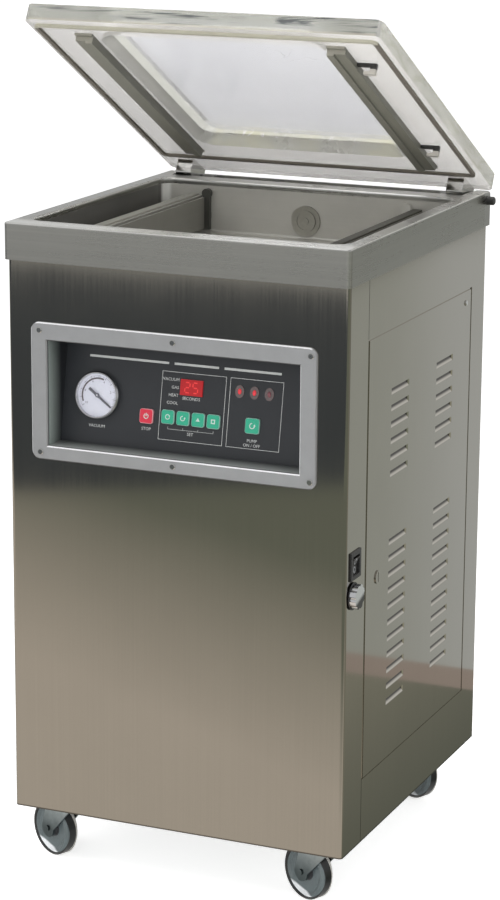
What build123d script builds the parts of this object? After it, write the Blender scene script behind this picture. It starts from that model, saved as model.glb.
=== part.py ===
from build123d import *
import os
from math import cos, floor, pi, radians, sin

# Floor standing chamber vacuum packing machine. Millimetres, +Z up, front towards -Y, floor at z = 0.
# The origin is on the floor, under the middle of the machine with its lid open.

# ---------------------------------------------------------------- driving dimensions

# Casing
body_width = 484.8
body_depth = 523.7
skirt_height = 90.3            # floor to the casing's lower edge
deck_height = 905.0            # floor to the top of the collar
sheet = 1.5
body_corner = 5.0
seam = 1.2                     # visible joint between casing sheets
panel_gap = 4.0                # beside the louvred panel's upright edges
panel_top_gap = 2.6            # over it
flange = 12.0                  # folded edges of the casing sheets
rear_fold = 20.0
front_return = 67.3            # the front sheet's side, back to its seam
pan_height = 22.0
pan_wall = 2.0

# Collar, the band round the top
collar_side_overhang = 2.6
collar_front_overhang = 7.0
collar_back_overhang = 13.5
collar_height = 49.4
collar_wall = 2.0
deck_thickness = 8.0
rim_side = 21.0
rim_front = 33.3
rim_back = 28.5
rim_edge_radius = 3.5
collar_edge_radius = 2.5
collar_corner = 6.0
housing_depth = 28.0           # rear part of the band, behind its seam

# Chamber
chamber_depth = 74.5
chamber_wall = 2.0
chamber_corner = 20.0
chamber_floor_radius = 4.0
chamber_flange = 10.0
port_radius = 21.8
port_height = 26.0             # port centre above the chamber floor
port_bore = 10.0
port_cap_step = 3.0

# Hinge
hinge_from_back = 17.9
hinge_drop = 13.0              # below the deck
shaft_radius = 5.0
running_clearance = 0.09
trough_length = 64.4
trough_depth = 25.0
trough_wall = 3.0
trough_back_wall = 6.0
housing_step = 1.5             # rear housing's top below the deck
housing_back_step = 6.0        # its back wall's top below the deck
housing_edge_radius = 4.0
shaft_overhang = 6.0           # out of each side, into its cap
shaft_cap_length = 11.0
shaft_cap_radius = 6.0

# Lid
lid_gap = 4.0
lid_thickness = 22.0
lid_side_overhang = 5.0
lid_front_overhang = 2.2
lid_corner = 10.0
lid_behind_hinge = 3.5
lid_open_angle = 29.05
dome_depth = 19.0
dome_slope_side = 19.0
dome_slope_end = 16.0
dome_side_margin = 88.0        # lid side edge to the dome
dome_back_margin = 107.0
dome_front_margin = 42.0
dome_corner = 26.0
dome_top_corner = 18.0
gasket_width = 5.5
gasket_side_offset = 15.0      # chamber side to the gasket's middle
gasket_end_offset = 19.5       # chamber end to the gasket's middle
gasket_corner = 6.0
seat_gap = 0.3                 # between faces that meet but do not press
arm_width = 24.0
arm_length = 48.0
arm_height = 24.0
arm_side_gap = 3.0
arm_edge_radius = 3.0
spring_wire = 3.5
spring_turns = 6
spring_play = 0.6

# Seal bars
seal_bar_inset = 57.0          # chamber side to the bar's middle
seal_bar_width = 24.0
seal_bar_end_gap = 9.0
seal_bar_floor_gap = 5.5
seal_bar_body = 48.0
seal_bar_step = (4.0, 3.0)     # width and depth of the rebate along the inner edge
seal_cover_height = 2.5
seal_cover_width = 14.0
seal_line_offset = 4.0
upper_bar_width = 25.0
upper_bar_height = 8.5
upper_bar_offset = 11.5
upper_bar_foot = 6.0
upper_bar_foot_thickness = 3.0
silicone_width = 10.0
silicone_height = 3.0
lift_rod_radius = 5.0
lift_rod_end_gap = 70.0
lift_cylinder_radius = 16.0
lift_cylinder_height = 42.0
lift_cylinder_cap = 4.0
bar_guide_width = 10.0
bar_guide_depth = 7.0
bar_guide_offset = 14.0        # bar's middle to the post's middle
bar_guide_knob = 7.0           # radius of the knob on the post
bar_guide_stay = (20.0, 28.0)  # lower and upper edge above the chamber floor
clip_length = 27.0             # bag clips beside the right upper bar
clip_width = 6.0
clip_thickness = 4.0
clip_drop = 15.0
clip_leg = 8.0
clip_places = (440.0, 160.0)   # from the lid's back edge

# Side panel with louvres
panel_bottom_margin = 89.7     # above the casing's lower edge
panel_top_margin = 131.0       # below the deck
rear_post = 57.4
louvre_length = 66.0
louvre_height = 9.0
louvre_depth = 4.0             # pressed inwards
louvre_end_slope = 5.0
louvre_pitch = 22.4
louvre_front_margin = 86.5     # panel's front edge to the first column
louvre_column_gap = 108.0
louvre_upper_rows = 6
louvre_upper_margin = 83.5     # panel's top edge to the first row
louvre_group_drop = 206.0
louvre_bottom_margin = 79.0
lock_radius = 9.0
cam_thickness = 3.0
cam_width = 12.0
cam_grip = 5.0                 # overlap of the cam and the backing strip
lock_from_front = 45.5
lock_drop = 326.0              # panel's top edge to the lock

# Control panel
bezel_width = 408.2
bezel_height = 186.0
bezel_shift = -3.8
bezel_top_margin = 130.0       # below the deck
bezel_side_border = 23.3
bezel_top_border = 24.0
bezel_bottom_border = 19.0
bezel_thickness = 3.5
bezel_corner = 12.0
bezel_chamfer = 1.5
bezel_screw_shift = 2.5
bezel_screw_margin = 10.5
face_depth = 35.0              # lower edge of the face, behind the front sheet
face_tilt = 10.24
face_thickness = 2.0
gauge_radius = 32.0
gauge_depth = 9.0
gauge_ring = 3.0
gauge_floor = 3.5              # dial above the face
gauge_stem = 5.0
gauge_stem_length = 20.0
gauge_lens_thickness = 1.0
needle_pin = 1.2
needle_length = 26.0
needle_tail = 15.0
needle_rest = -125.0           # from straight up, at no vacuum
key_size = 18.8
key_pitch = 21.9
key_proud = 3.0
key_corner = 3.5
key_chamfer = 0.8
key_gap = 0.3
stop_size = 19.5
big_key_size = 20.5
box_flange = 6.0               # control box behind the front sheet
lamp_stem = 4.0

# Right side switch and knob
rocker_width = 35.0
rocker_height = 38.0
rocker_from_front = 30.8
rocker_drop = 418.0
rocker_proud = 2.5
rocker_border = 5.0
rocker_depth = 22.0
rocker_wall = 1.0
rocker_pin_depth = 6.0
rocker_rest_angle = 9.0
knob_radius = 18.5
knob_proud = 11.0
knob_from_front = 23.3
knob_drop = 458.0
knob_lobes = 8
knob_flute = 4.0
knob_base = 2.0
spindle_radius = 3.0

# Casters
wheel_radius = 40.0
wheel_width = 21.0
caster_offset = 25.0
caster_height = 104.0
caster_side_inset = 50.5
caster_end_inset = 54.0
caster_angle = 153.65          # way the forks trail, from +X
caster_plate_length = 82.0
caster_plate_width = 62.0
caster_plate_thickness = 3.0
fork_leg = 2.5
fork_side_gap = 1.2
leg_end = 13.0                 # radius of the fork's leg round the axle
axle_radius = 4.0
axle_head = 2.0
tyre_width = 6.0
tyre_shoulder = 3.0
wheel_recess = 4.0
wheel_recess_slope = 5.0
hub_radius = 12.0
hub_proud = 0.8
race_radius = 24.0
crown_radius = 26.0
stud_radius = 5.0
crown_gap = 5.0
bolt_radius = 3.0
bolt_head_radius = 5.8
bolt_head_height = 4.0
bolt_inset = 9.0               # plate's edge to the bolt
bolt_hole_gap = 0.2
bolt_reach = 8.0               # above the plate

screw_head_radius = 4.0
screw_head_height = 2.0
screw_radius = 2.0
screw_length = 8.0
screw_gap = 0.1

# Rear panel
rear_screw_margin = 30.0       # from the pan's rim and from the panel's top
rear_vent_length = 66.0
rear_vent_height = 4.0
rear_vent_offset = 60.0
rear_vent_rows = 6
rear_vent_margin = 180.0       # panel's lower edge to the first row
gland_from_side = 90.0
gland_above_edge = 70.0
gland_radius = 8.0
gland_nut_radius = 11.0
gland_nut_height = 6.0
gland_tail = 3.0
gland_washer = 2.0
gland_bore = 4.0

# Inside, on the base pan
pump_from_front = 137.0        # casing's front to the pump's
pump_length = 320.0
pump_head_length = 140.0
pump_width = 140.0
pump_height = 138.0
pump_corner = 14.0
pump_foot = 12.0
motor_radius = 62.0
motor_height = 75.0            # shaft above the pan
inlet_radius = 14.0
inlet_height = 25.0
terminal_box = (80.0, 50.0, 30.0)
core_from_front = 147.0        # casing's front to the transformer's and the valves'
core_size = 90.0
core_height = 80.0
core_inset = 31.0              # casing wall to the core
core_limb = 15.0
coil_width = 30.0
coil_proud = 12.0
manifold_length = 90.0
manifold_width = 40.0
manifold_height = 30.0
manifold_inset = 31.0          # casing wall to the manifold
valve_radius = 11.0
valve_height = 45.0
valve_pitch = 30.0
hose_radius = 9.0
hose_rise = 80.0               # above the pump's inlet
hose_bend = 40.0
board_size = (300.0, 110.0, 1.6)
board_gap = 9.0                # behind the face

# ---------------------------------------------------------------- places worked out from them

collar_width = body_width + 2 * collar_side_overhang
collar_depth = body_depth + collar_front_overhang + collar_back_overhang
hinge_to_underside = hinge_drop + lid_gap
lid_reach_back = (lid_behind_hinge * cos(radians(lid_open_angle))
                  + (hinge_to_underside + lid_thickness) * sin(radians(lid_open_angle)))
collar_front = -(collar_depth - hinge_from_back + lid_reach_back) / 2
collar_back = collar_front + collar_depth
body_front = collar_front + collar_front_overhang
body_back = collar_back - collar_back_overhang
body_side = body_width / 2
collar_side = collar_width / 2
deck_under = deck_height - deck_thickness
collar_bottom = deck_height - collar_height
housing_front = collar_back - housing_depth

chamber_side = collar_side - rim_side
chamber_front = collar_front + rim_front
trough_front = collar_back - trough_length
chamber_back = trough_front - rim_back
chamber_floor = deck_height - chamber_depth
trough_floor = deck_height - trough_depth
trough_under = trough_floor - trough_wall
trough_back = collar_back - trough_back_wall

hinge_y = collar_back - hinge_from_back
hinge_z = deck_height - hinge_drop
lid_back = hinge_y + lid_behind_hinge
lid_front = collar_front - lid_front_overhang
lid_side = collar_side + lid_side_overhang
lid_under = deck_height + lid_gap
lid_top = lid_under + lid_thickness

seal_front = chamber_front + seal_bar_end_gap
seal_back = chamber_back - seal_bar_end_gap
seal_x = chamber_side - seal_bar_inset
seal_bottom = chamber_floor + seal_bar_floor_gap
seal_top = seal_bottom + seal_bar_body + seal_cover_height
strip_bottom = lid_under - upper_bar_height - silicone_height
lift_stroke = strip_bottom - seal_top - seat_gap

seam_y = body_front + front_return
panel_front = seam_y + seam
panel_back = body_back - rear_post
panel_bottom = skirt_height + panel_bottom_margin
panel_top = deck_height - panel_top_margin
post_top = trough_under
wall_inner = body_side - sheet

opening_side = bezel_width / 2 - bezel_side_border
bezel_top = deck_height - bezel_top_margin
bezel_bottom = bezel_top - bezel_height
opening_top = bezel_top - bezel_top_border
opening_bottom = bezel_bottom + bezel_bottom_border
face_bottom_y = body_front + face_depth
face_plane = Plane(origin=(bezel_shift, face_bottom_y, opening_bottom), x_dir=(1, 0, 0),
                   z_dir=(0, -cos(radians(face_tilt)), sin(radians(face_tilt))))
face_length = (opening_top - opening_bottom) / cos(radians(face_tilt))

base_floor = caster_height
caster_x = body_side - caster_side_inset
caster_front_y = body_front + caster_end_inset
caster_back_y = body_back - caster_end_inset
crown_bottom = 2 * wheel_radius + crown_gap
crown_top = crown_bottom + fork_leg

pan_top = base_floor + pan_wall
pump_front = body_front + pump_from_front
pump_top = pan_top + pump_foot + pump_height
motor_z = pan_top + motor_height
inlet_y = pump_front + pump_head_length / 2
inlet_top = pump_top + inlet_height
core_front = body_front + core_from_front
hose_y = chamber_back + chamber_wall + 12.0
port_z = chamber_floor + port_height


# ---------------------------------------------------------------- helpers

def block(x0, x1, y0, y1, z0, z1):
    """Box between two corners."""
    return Pos((x0 + x1) / 2, (y0 + y1) / 2, (z0 + z1) / 2) * Box(x1 - x0, y1 - y0, z1 - z0)


def slab(x0, x1, y0, y1, z0, z1, radius):
    """Box with rounded vertical edges."""
    outline = Pos((x0 + x1) / 2, (y0 + y1) / 2, z0) * RectangleRounded(x1 - x0, y1 - y0, radius)
    return extrude(outline, z1 - z0)


def rod(x, y, z0, z1, radius):
    """Upright cylinder."""
    return Pos(x, y, (z0 + z1) / 2) * Cylinder(radius, z1 - z0)


def rod_x(x0, x1, y, z, radius):
    """Cylinder along X."""
    return Pos((x0 + x1) / 2, y, z) * Rot(0, 90, 0) * Cylinder(radius, x1 - x0)


def rod_y(x, y0, y1, z, radius):
    """Cylinder along Y."""
    return Pos(x, (y0 + y1) / 2, z) * Rot(90, 0, 0) * Cylinder(radius, y1 - y0)


def opened(shape):
    """Swing a lid piece from closed to its open rest place."""
    return shape.rotate(Axis((0, hinge_y, hinge_z), (1, 0, 0)), -lid_open_angle)


def mirrored(shape):
    """The same piece on the other side."""
    return mirror(shape, about=Plane.YZ)


def on_face(x, up, shape):
    """Put a shape on the control face: x across, up along the face, its own Z outwards."""
    return face_plane * Pos(x, up, 0) * shape


# ---------------------------------------------------------------- screw and hole places

bezel_screw_x = bezel_width / 2 - bezel_side_border / 2 + 1.0
bezel_screw_top = bezel_top - bezel_screw_margin
bezel_screw_bottom = bezel_bottom + bezel_screw_margin
bezel_screw_places = [(bezel_shift + bezel_screw_shift + bezel_screw_x * side, z)
                      for side in (-1, 0, 1) for z in (bezel_screw_bottom, bezel_screw_top)]
panel_screw_y = panel_back - 20.5
panel_screw_z = panel_top - 16.3
lock_y = panel_front + lock_from_front
lock_z = panel_top - lock_drop
rocker_y = body_front + rocker_from_front
rocker_z = deck_height - rocker_drop
knob_y = body_front + knob_from_front
knob_z = deck_height - knob_drop
rear_screw_x = wall_inner - seam - 8.0
rear_screw_heights = (base_floor + pan_height + rear_screw_margin, post_top - rear_screw_margin)
rear_screw_places = [(side * rear_screw_x, z) for side in (-1, 1)
                     for z in rear_screw_heights]
gland_x = -body_side + gland_from_side
gland_z = skirt_height + gland_above_edge
lift_rod_ys = (seal_front + lift_rod_end_gap, seal_back - lift_rod_end_gap)

# Places on the control face: across from the bezel's middle, up from the face's lower edge
gauge_place = (-128.9, 65.1)
stop_place = (-56.4, 44.2)
first_key_x = -25.2
key_up = 46.2
key_places = [(first_key_x + key_pitch * i, key_up) for i in range(4)]
big_key_place = (96.2, 46.1)
display_place = (5.5, 87.3)
display_size = (32.0, 21.0)
lamp_first_x = 74.3
lamp_pitch = 21.0
lamp_up = 89.2
lamp_size = (13.0, 17.0)
lamp_places = [(lamp_first_x + lamp_pitch * i, lamp_up) for i in range(3)]


# ---------------------------------------------------------------- casing

def base_pan():
    """Folded tray that carries the pump and, below, the casters."""
    radius = body_corner - sheet
    tray = slab(-wall_inner, wall_inner, body_front + sheet, body_back - 2 * sheet,
                base_floor, base_floor + pan_height, radius)
    tray -= slab(-wall_inner + pan_wall, wall_inner - pan_wall, body_front + sheet + pan_wall,
                 body_back - 2 * sheet - pan_wall, base_floor + pan_wall, base_floor + pan_height,
                 radius - pan_wall)
    for x in (-caster_x, caster_x):
        for y in (caster_front_y, caster_back_y):
            for dx in (-1, 1):
                for dy in (-1, 1):
                    tray -= rod(x + dx * (caster_plate_width / 2 - bolt_inset),
                                y + dy * (caster_plate_length / 2 - bolt_inset),
                                base_floor, base_floor + pan_wall, bolt_radius + bolt_hole_gap)
    return tray


def front_sheet():
    """Front panel, wrapped round both front corners, with the window for the controls."""
    skin = slab(-body_side, body_side, body_front, body_front + 2 * front_return,
                skirt_height, deck_under, body_corner)
    skin -= slab(-wall_inner, wall_inner, body_front + sheet, body_front + 2 * front_return,
                 skirt_height + sheet, deck_under, body_corner - sheet)
    skin -= block(-wall_inner + flange, wall_inner - flange, body_front + sheet + flange,
                  body_front + 2 * front_return, skirt_height, skirt_height + sheet)
    skin -= block(-body_side, body_side, seam_y, body_front + 2 * front_return + 1, skirt_height, deck_under)
    skin -= block(bezel_shift - opening_side, bezel_shift + opening_side, body_front - 1,
                  body_front + sheet + 1, opening_bottom, opening_top)
    for x, z in bezel_screw_places:
        skin -= rod_y(x, body_front - 1, body_front + sheet + 1, z, screw_radius + screw_gap)
    skin -= block(wall_inner - 1, body_side + 1, rocker_y - rocker_width / 2 + rocker_border,
                  rocker_y + rocker_width / 2 - rocker_border,
                  rocker_z - rocker_height / 2 + rocker_border, rocker_z + rocker_height / 2 - rocker_border)
    skin -= rod_x(wall_inner - 1, body_side + 1, knob_y, knob_z, spindle_radius + running_clearance)
    return skin


def side_frame():
    """Right side wall round the louvred panel, with its backing strip and rear fold."""
    frame = block(wall_inner, body_side, panel_front, body_back, skirt_height, post_top)
    frame += block(wall_inner, body_side, panel_front, trough_front - trough_wall, post_top, deck_under)
    frame -= block(wall_inner - 1, body_side + 1, panel_front, panel_back + panel_gap,
                   panel_bottom - seam, panel_top + panel_top_gap)
    frame += block(wall_inner - sheet, wall_inner, panel_front - flange, panel_back + flange,
                   panel_bottom - flange, panel_top + flange)
    frame -= block(wall_inner - sheet - 1, wall_inner + 1, panel_front + flange, panel_back - flange,
                   panel_bottom + flange, panel_top - flange)
    frame += block(wall_inner - rear_fold, wall_inner, body_back - 2 * sheet, body_back - sheet,
                   skirt_height, post_top)
    frame -= rod_x(wall_inner - sheet - 1, body_side + 1, panel_screw_y, panel_screw_z,
                   screw_radius + screw_gap)
    for z in rear_screw_heights:
        frame -= rod_y(rear_screw_x, body_back - 2 * sheet - 1, body_back, z, screw_radius + screw_gap)
    return frame


def louvre(length, height, depth, end_slope):
    """Pressing along Y, inwards from x = 0 and z = 0, with sloped ends and its slot along the upper edge."""
    profile = Plane.XZ * make_face(Polyline((0, 0), (-depth, height), (0, height), close=True))
    outline = make_face(Polyline((0, -length / 2), (0, length / 2), (-depth, length / 2 - end_slope),
                                 (-depth, -length / 2 + end_slope), close=True))
    return (Pos(0, length / 2, 0) * extrude(profile, length)) & extrude(outline, height)


def louvre_rows():
    """Heights of the lower edges of the side panel's louvres."""
    upper = [panel_top - louvre_upper_margin - louvre_pitch * i for i in range(louvre_upper_rows)]
    lower_start = upper[0] - louvre_group_drop
    count = floor((lower_start - panel_bottom - louvre_bottom_margin) / louvre_pitch) + 1
    return upper + [lower_start - louvre_pitch * i for i in range(count)]


def louvred_panel():
    """Right access panel: sheet with two columns of pressed louvres."""
    panel = block(wall_inner, body_side, panel_front + panel_gap, panel_back, panel_bottom, panel_top)
    hollow = louvre(louvre_length, louvre_height, louvre_depth, louvre_end_slope)
    backing = Pos(-sheet, 0, 0) * louvre(louvre_length + 2 * sheet, louvre_height, louvre_depth,
                                         louvre_end_slope)
    first = panel_front + louvre_front_margin + louvre_length / 2
    columns = (first, first + louvre_column_gap + louvre_length)
    places = [Pos(body_side, y, z - louvre_height / 2) for y in columns for z in louvre_rows()]
    panel = panel + [place * backing for place in places]
    panel = panel - [place * hollow for place in places]
    panel -= rod_x(wall_inner - 1, body_side + 1, panel_screw_y, panel_screw_z, screw_radius + screw_gap)
    panel -= rod_x(wall_inner - 1, body_side + 1, lock_y, lock_z, lock_radius * 0.7 + running_clearance)
    return panel


def rear_panel():
    """Removable back sheet with a block of vents low down and the cable entry."""
    half = wall_inner - seam
    panel = block(-half, half, body_back - sheet, body_back, skirt_height, post_top)
    for x, z in rear_screw_places:
        panel -= rod_y(x, body_back - sheet - 1, body_back + 1, z, screw_radius + screw_gap)
    for i in range(rear_vent_rows):
        z = skirt_height + rear_vent_margin + louvre_pitch * i
        for x in (-rear_vent_offset, rear_vent_offset):
            panel -= block(x - rear_vent_length / 2, x + rear_vent_length / 2, body_back - sheet - 1,
                           body_back + 1, z, z + rear_vent_height)
    panel -= rod_y(gland_x, body_back - sheet - 1, body_back + 1, gland_z, gland_radius + running_clearance)
    return panel


def cable_gland():
    """Threaded gland for the supply cable, with a washer and a nut on each side of the sheet."""
    inner, outer = body_back - sheet, body_back + gland_washer
    nut = extrude(RegularPolygon(gland_nut_radius, 6), gland_nut_height)
    gland = rod_y(gland_x, inner - gland_nut_height - gland_tail, outer, gland_z, gland_radius)
    gland += rod_y(gland_x, body_back, outer, gland_z, gland_nut_radius)
    gland += Pos(gland_x, outer + gland_nut_height, gland_z) * Rot(90, 0, 0) * nut
    gland += Pos(gland_x, inner, gland_z) * Rot(90, 0, 0) * nut
    return gland - rod_y(gland_x, inner - body_back, outer + body_back, gland_z, gland_bore)


# ---------------------------------------------------------------- top

def collar():
    """Deck plate with the chamber opening and the band that hides the casing's top edge."""
    band = slab(-collar_side, collar_side, collar_front, housing_front + 40, collar_bottom, deck_height,
                collar_corner)
    band -= slab(-collar_side + collar_wall, collar_side - collar_wall, collar_front + collar_wall,
                 housing_front + 50, collar_bottom, deck_under, collar_corner - collar_wall)
    band -= block(-collar_side - 1, collar_side + 1, housing_front, housing_front + 60, collar_bottom,
                  deck_height)
    band -= slab(-chamber_side, chamber_side, chamber_front, chamber_back, deck_under, deck_height,
                 chamber_corner)
    band -= block(-chamber_side, chamber_side, trough_front, housing_front, deck_under, deck_height)
    outside = [e for e in band.edges().filter_by_position(Axis.Z, deck_height, deck_height)
               if e.center().Y < housing_front - 1
               and (e.center().Y < collar_front + collar_corner or abs(e.center().X) > collar_side - 1)]
    band = fillet(outside, collar_edge_radius)
    round_chamber = [e for e in band.edges().filter_by_position(Axis.Z, deck_height, deck_height)
                     if e.bounding_box().min.Y > chamber_front - 1 and e.bounding_box().max.Y < chamber_back + 1
                     and abs(e.center().X) < chamber_side + 1]
    return fillet(round_chamber, rim_edge_radius)


def chamber_basin():
    """Deep drawn tank with a flange under the deck and holes for the lift rods and the port."""
    w = chamber_wall
    tank = slab(-chamber_side - w, chamber_side + w, chamber_front - w, chamber_back + w,
                chamber_floor - w, deck_under, chamber_corner + w)
    tank += slab(-chamber_side - chamber_flange, chamber_side + chamber_flange, chamber_front - chamber_flange,
                 chamber_back + chamber_flange, deck_under - w, deck_under, chamber_corner + chamber_flange)
    inside = slab(-chamber_side, chamber_side, chamber_front, chamber_back, chamber_floor, deck_under,
                  chamber_corner)
    inside = fillet(inside.faces().sort_by(Axis.Z)[0].edges(), chamber_floor_radius)
    tank -= inside
    for x in (-seal_x, seal_x):
        for y in lift_rod_ys:
            tank -= rod(x, y, chamber_floor - w - 1, chamber_floor + 1, lift_rod_radius + seat_gap)
    tank -= rod_y(0, chamber_back - 1, chamber_back + w + 1, port_z, port_bore)
    return tank


def rear_housing():
    """Hinge housing behind the chamber: bearing cheeks, trough and back wall."""
    cheek = block(chamber_side, collar_side - collar_wall, trough_front, housing_front, trough_under,
                  deck_under)
    cheek += block(chamber_side, collar_side, housing_front, collar_back, trough_under,
                   deck_height - housing_step)
    cheeks = cheek + mirrored(cheek)
    housing = cheeks + block(-chamber_side, chamber_side, trough_front - trough_wall, collar_back,
                             trough_under, trough_floor)
    housing += block(-collar_side + collar_wall, collar_side - collar_wall, trough_front - trough_wall,
                     trough_front, trough_under, deck_under)
    housing += block(-chamber_side, chamber_side, trough_back, collar_back, trough_floor,
                     deck_height - housing_back_step)
    skirt = block(-collar_side, collar_side, housing_front, collar_back, collar_bottom, trough_under)
    skirt -= block(-collar_side + collar_wall, collar_side - collar_wall, housing_front - 1,
                   collar_back - collar_wall, collar_bottom, trough_under)
    housing += skirt
    housing -= rod_x(-collar_side - 1, collar_side + 1, hinge_y, hinge_z, shaft_radius + running_clearance)
    corner = [e for e in housing.edges().filter_by(Axis.Z) if abs(e.center().Y - collar_back) < 0.1
              and abs(abs(e.center().X) - collar_side) < 0.1]
    housing = fillet(corner, collar_corner)
    tops = [e for e in housing.edges().filter_by(Axis.X) if abs(e.center().Y - collar_back) < 0.1
            and e.center().Z > deck_height - housing_step - 0.1]
    return fillet(tops, housing_edge_radius)


def hinge_shaft():
    """Shaft that the lid turns on, held in both cheeks."""
    return rod_x(-collar_side - shaft_overhang, collar_side + shaft_overhang, hinge_y, hinge_z, shaft_radius)


def shaft_caps():
    """Black caps over both shaft ends."""
    cap = rod_x(collar_side, collar_side + shaft_cap_length, hinge_y, hinge_z, shaft_cap_radius)
    cap = chamfer(cap.faces().sort_by(Axis.X)[-1].edges(), 1.5)
    cap -= rod_x(collar_side, collar_side + shaft_overhang, hinge_y, hinge_z, shaft_radius)
    return cap + mirrored(cap)


def torsion_springs():
    """Close wound springs on the shaft that lift the lid, each with a leg down to the trough floor."""
    coil, turns = spring_wire, spring_turns
    inner = shaft_radius + spring_play
    outer = inner + coil
    inner_edge = chamber_side - arm_side_gap - arm_width - 1.0
    start = inner_edge - coil * turns
    outline = [(start, inner), (start, outer - coil / 2)]
    for i in range(turns):
        x = start + coil * i
        outline += [(x + coil * 0.3, outer), (x + coil * 0.7, outer), (x + coil, outer - coil / 2)]
    outline.append((start + coil * turns, inner))
    profile = Pos(0, hinge_y, hinge_z) * make_face(Polyline(*outline, close=True))
    body = revolve(profile, Axis((0, hinge_y, hinge_z), (1, 0, 0)))
    wire = coil / 2 - 0.2
    leg_y = hinge_y - inner - coil / 2
    leg = rod(start + coil / 2, leg_y, trough_floor, hinge_z, wire)
    foot = block(start + coil / 2 - wire * 0.7, start + coil / 2 + wire * 0.7, leg_y - 20, leg_y,
                 trough_floor, trough_floor + 1.4 * wire)
    spring = body + leg + foot
    return spring + mirrored(spring)


def vacuum_port_cap():
    """Round cap with concentric rings on the chamber's back wall."""
    face = chamber_back - 2 * port_cap_step
    cap = rod_y(0, chamber_back - port_cap_step, chamber_back, port_z, port_radius)
    cap += rod_y(0, face, chamber_back - port_cap_step, port_z, port_radius * 0.72)
    cap -= rod_y(0, face, face + port_cap_step / 2, port_z, port_radius * 0.56)
    cap += rod_y(0, face, face + port_cap_step / 2, port_z, port_radius * 0.25)
    return cap + rod_y(0, chamber_back, chamber_back + chamber_wall + 2, port_z, port_bore - running_clearance)


def lift_cylinders():
    """Four air cylinders under the chamber floor, one round each lift rod."""
    top = chamber_floor - chamber_wall
    cylinders = Part()
    for x in (-seal_x, seal_x):
        for y in lift_rod_ys:
            body = rod(x, y, top - lift_cylinder_height, top, lift_cylinder_radius)
            body += rod(x, y, top - lift_cylinder_cap, top, lift_cylinder_radius + lift_cylinder_cap)
            body -= rod(x, y, top - lift_cylinder_height + lift_cylinder_cap, top + 1,
                        lift_rod_radius + running_clearance)
            cylinders += body
    return cylinders


def bar_guides():
    """Posts with round knobs behind the lower seal bars, that keep them upright."""
    x = -seal_x + bar_guide_offset
    half = bar_guide_width / 2
    y0, y1 = seal_back + 1, seal_back + 1 + bar_guide_depth
    post = block(x - half, x + half, y0, y1, chamber_floor + chamber_floor_radius, seal_top)
    post += rod_y(x, y0, y1, seal_top, bar_guide_knob)
    z0, z1 = bar_guide_stay
    post += block(x - half, x + half, y1, chamber_back, chamber_floor + z0, chamber_floor + z1)
    return post + mirrored(post)


# ---------------------------------------------------------------- seal bars

def seal_bar():
    """Right lower bar with its two lift rods: hard anodised body with a stepped top."""
    y0, y1 = seal_front, seal_back
    top = seal_bottom + seal_bar_body
    half = seal_bar_width / 2
    bar = block(seal_x - half, seal_x + half, y0, y1, seal_bottom, top)
    step_width, step_depth = seal_bar_step
    bar -= block(seal_x - half, seal_x - half + step_width, y0, y1, top - step_depth, top)
    ends = [e for e in bar.edges().filter_by(Axis.Z) if abs(abs(e.center().X - seal_x) - half) < 0.1]
    bar = fillet(ends, 1.5)
    bottom = chamber_floor - chamber_wall - lift_cylinder_height + lift_cylinder_cap + 2
    for y in lift_rod_ys:
        bar += rod(seal_x, y, bottom, seal_bottom, lift_rod_radius)
    return bar


def heater_cover():
    """Taped heater band along the top of the right lower bar."""
    x = seal_x + seal_line_offset
    z = seal_bottom + seal_bar_body
    cover = block(x - seal_cover_width / 2, x + seal_cover_width / 2, seal_front, seal_back,
                  z, z + seal_cover_height)
    long_edges = [e for e in cover.edges().filter_by(Axis.Y) if e.center().Z > z + 1]
    return fillet(long_edges, 1.0)


# ---------------------------------------------------------------- lid, made closed and then swung open

def dome_section(z, grow):
    """Outline of the lid's dome at one height, larger by grow on each side."""
    x = lid_side - dome_side_margin - dome_slope_side * (1 - grow)
    y0 = lid_front + dome_front_margin + dome_slope_end * (1 - grow)
    y1 = lid_back - dome_back_margin - dome_slope_end * (1 - grow)
    radius = dome_top_corner + (dome_corner - dome_top_corner) * grow
    return Pos(0, (y0 + y1) / 2, z) * RectangleRounded(2 * x, y1 - y0, radius)


def lid():
    """Clear acrylic lid, 22 mm thick, formed into a shallow dome over the chamber."""
    plate = slab(-lid_side, lid_side, lid_front, lid_back, lid_under, lid_top, lid_corner)
    plate += loft([dome_section(lid_top, 1), dome_section(lid_top + dome_depth, 0)])
    plate -= loft([dome_section(lid_under, 1), dome_section(lid_under + dome_depth, 0)])
    return opened(plate)


def lid_gasket():
    """Sponge rubber ring that closes on the rim."""
    x = chamber_side + gasket_side_offset
    y0 = chamber_front - gasket_end_offset
    y1 = chamber_back + gasket_end_offset
    half = gasket_width / 2
    z0 = deck_height + seat_gap
    ring = slab(-x - half, x + half, y0 - half, y1 + half, z0, lid_under, gasket_corner + half)
    ring -= slab(-x + half, x - half, y0 + half, y1 - half, z0, lid_under, gasket_corner - half)
    return opened(ring)


def hinge_arms():
    """Chromed arms screwed under the lid's back edge and bored for the shaft."""
    x1 = chamber_side - arm_side_gap
    arm = block(x1 - arm_width, x1, lid_back - arm_length, lid_back, lid_under - arm_height, lid_under)
    arm -= rod_x(x1 - arm_width - 1, x1 + 1, hinge_y, hinge_z, shaft_radius + running_clearance)
    lower = [e for e in arm.edges().filter_by(Axis.X) if e.center().Z < lid_under - arm_height + 0.1]
    arm = fillet(lower, arm_edge_radius)
    return opened(arm + mirrored(arm))


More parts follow.
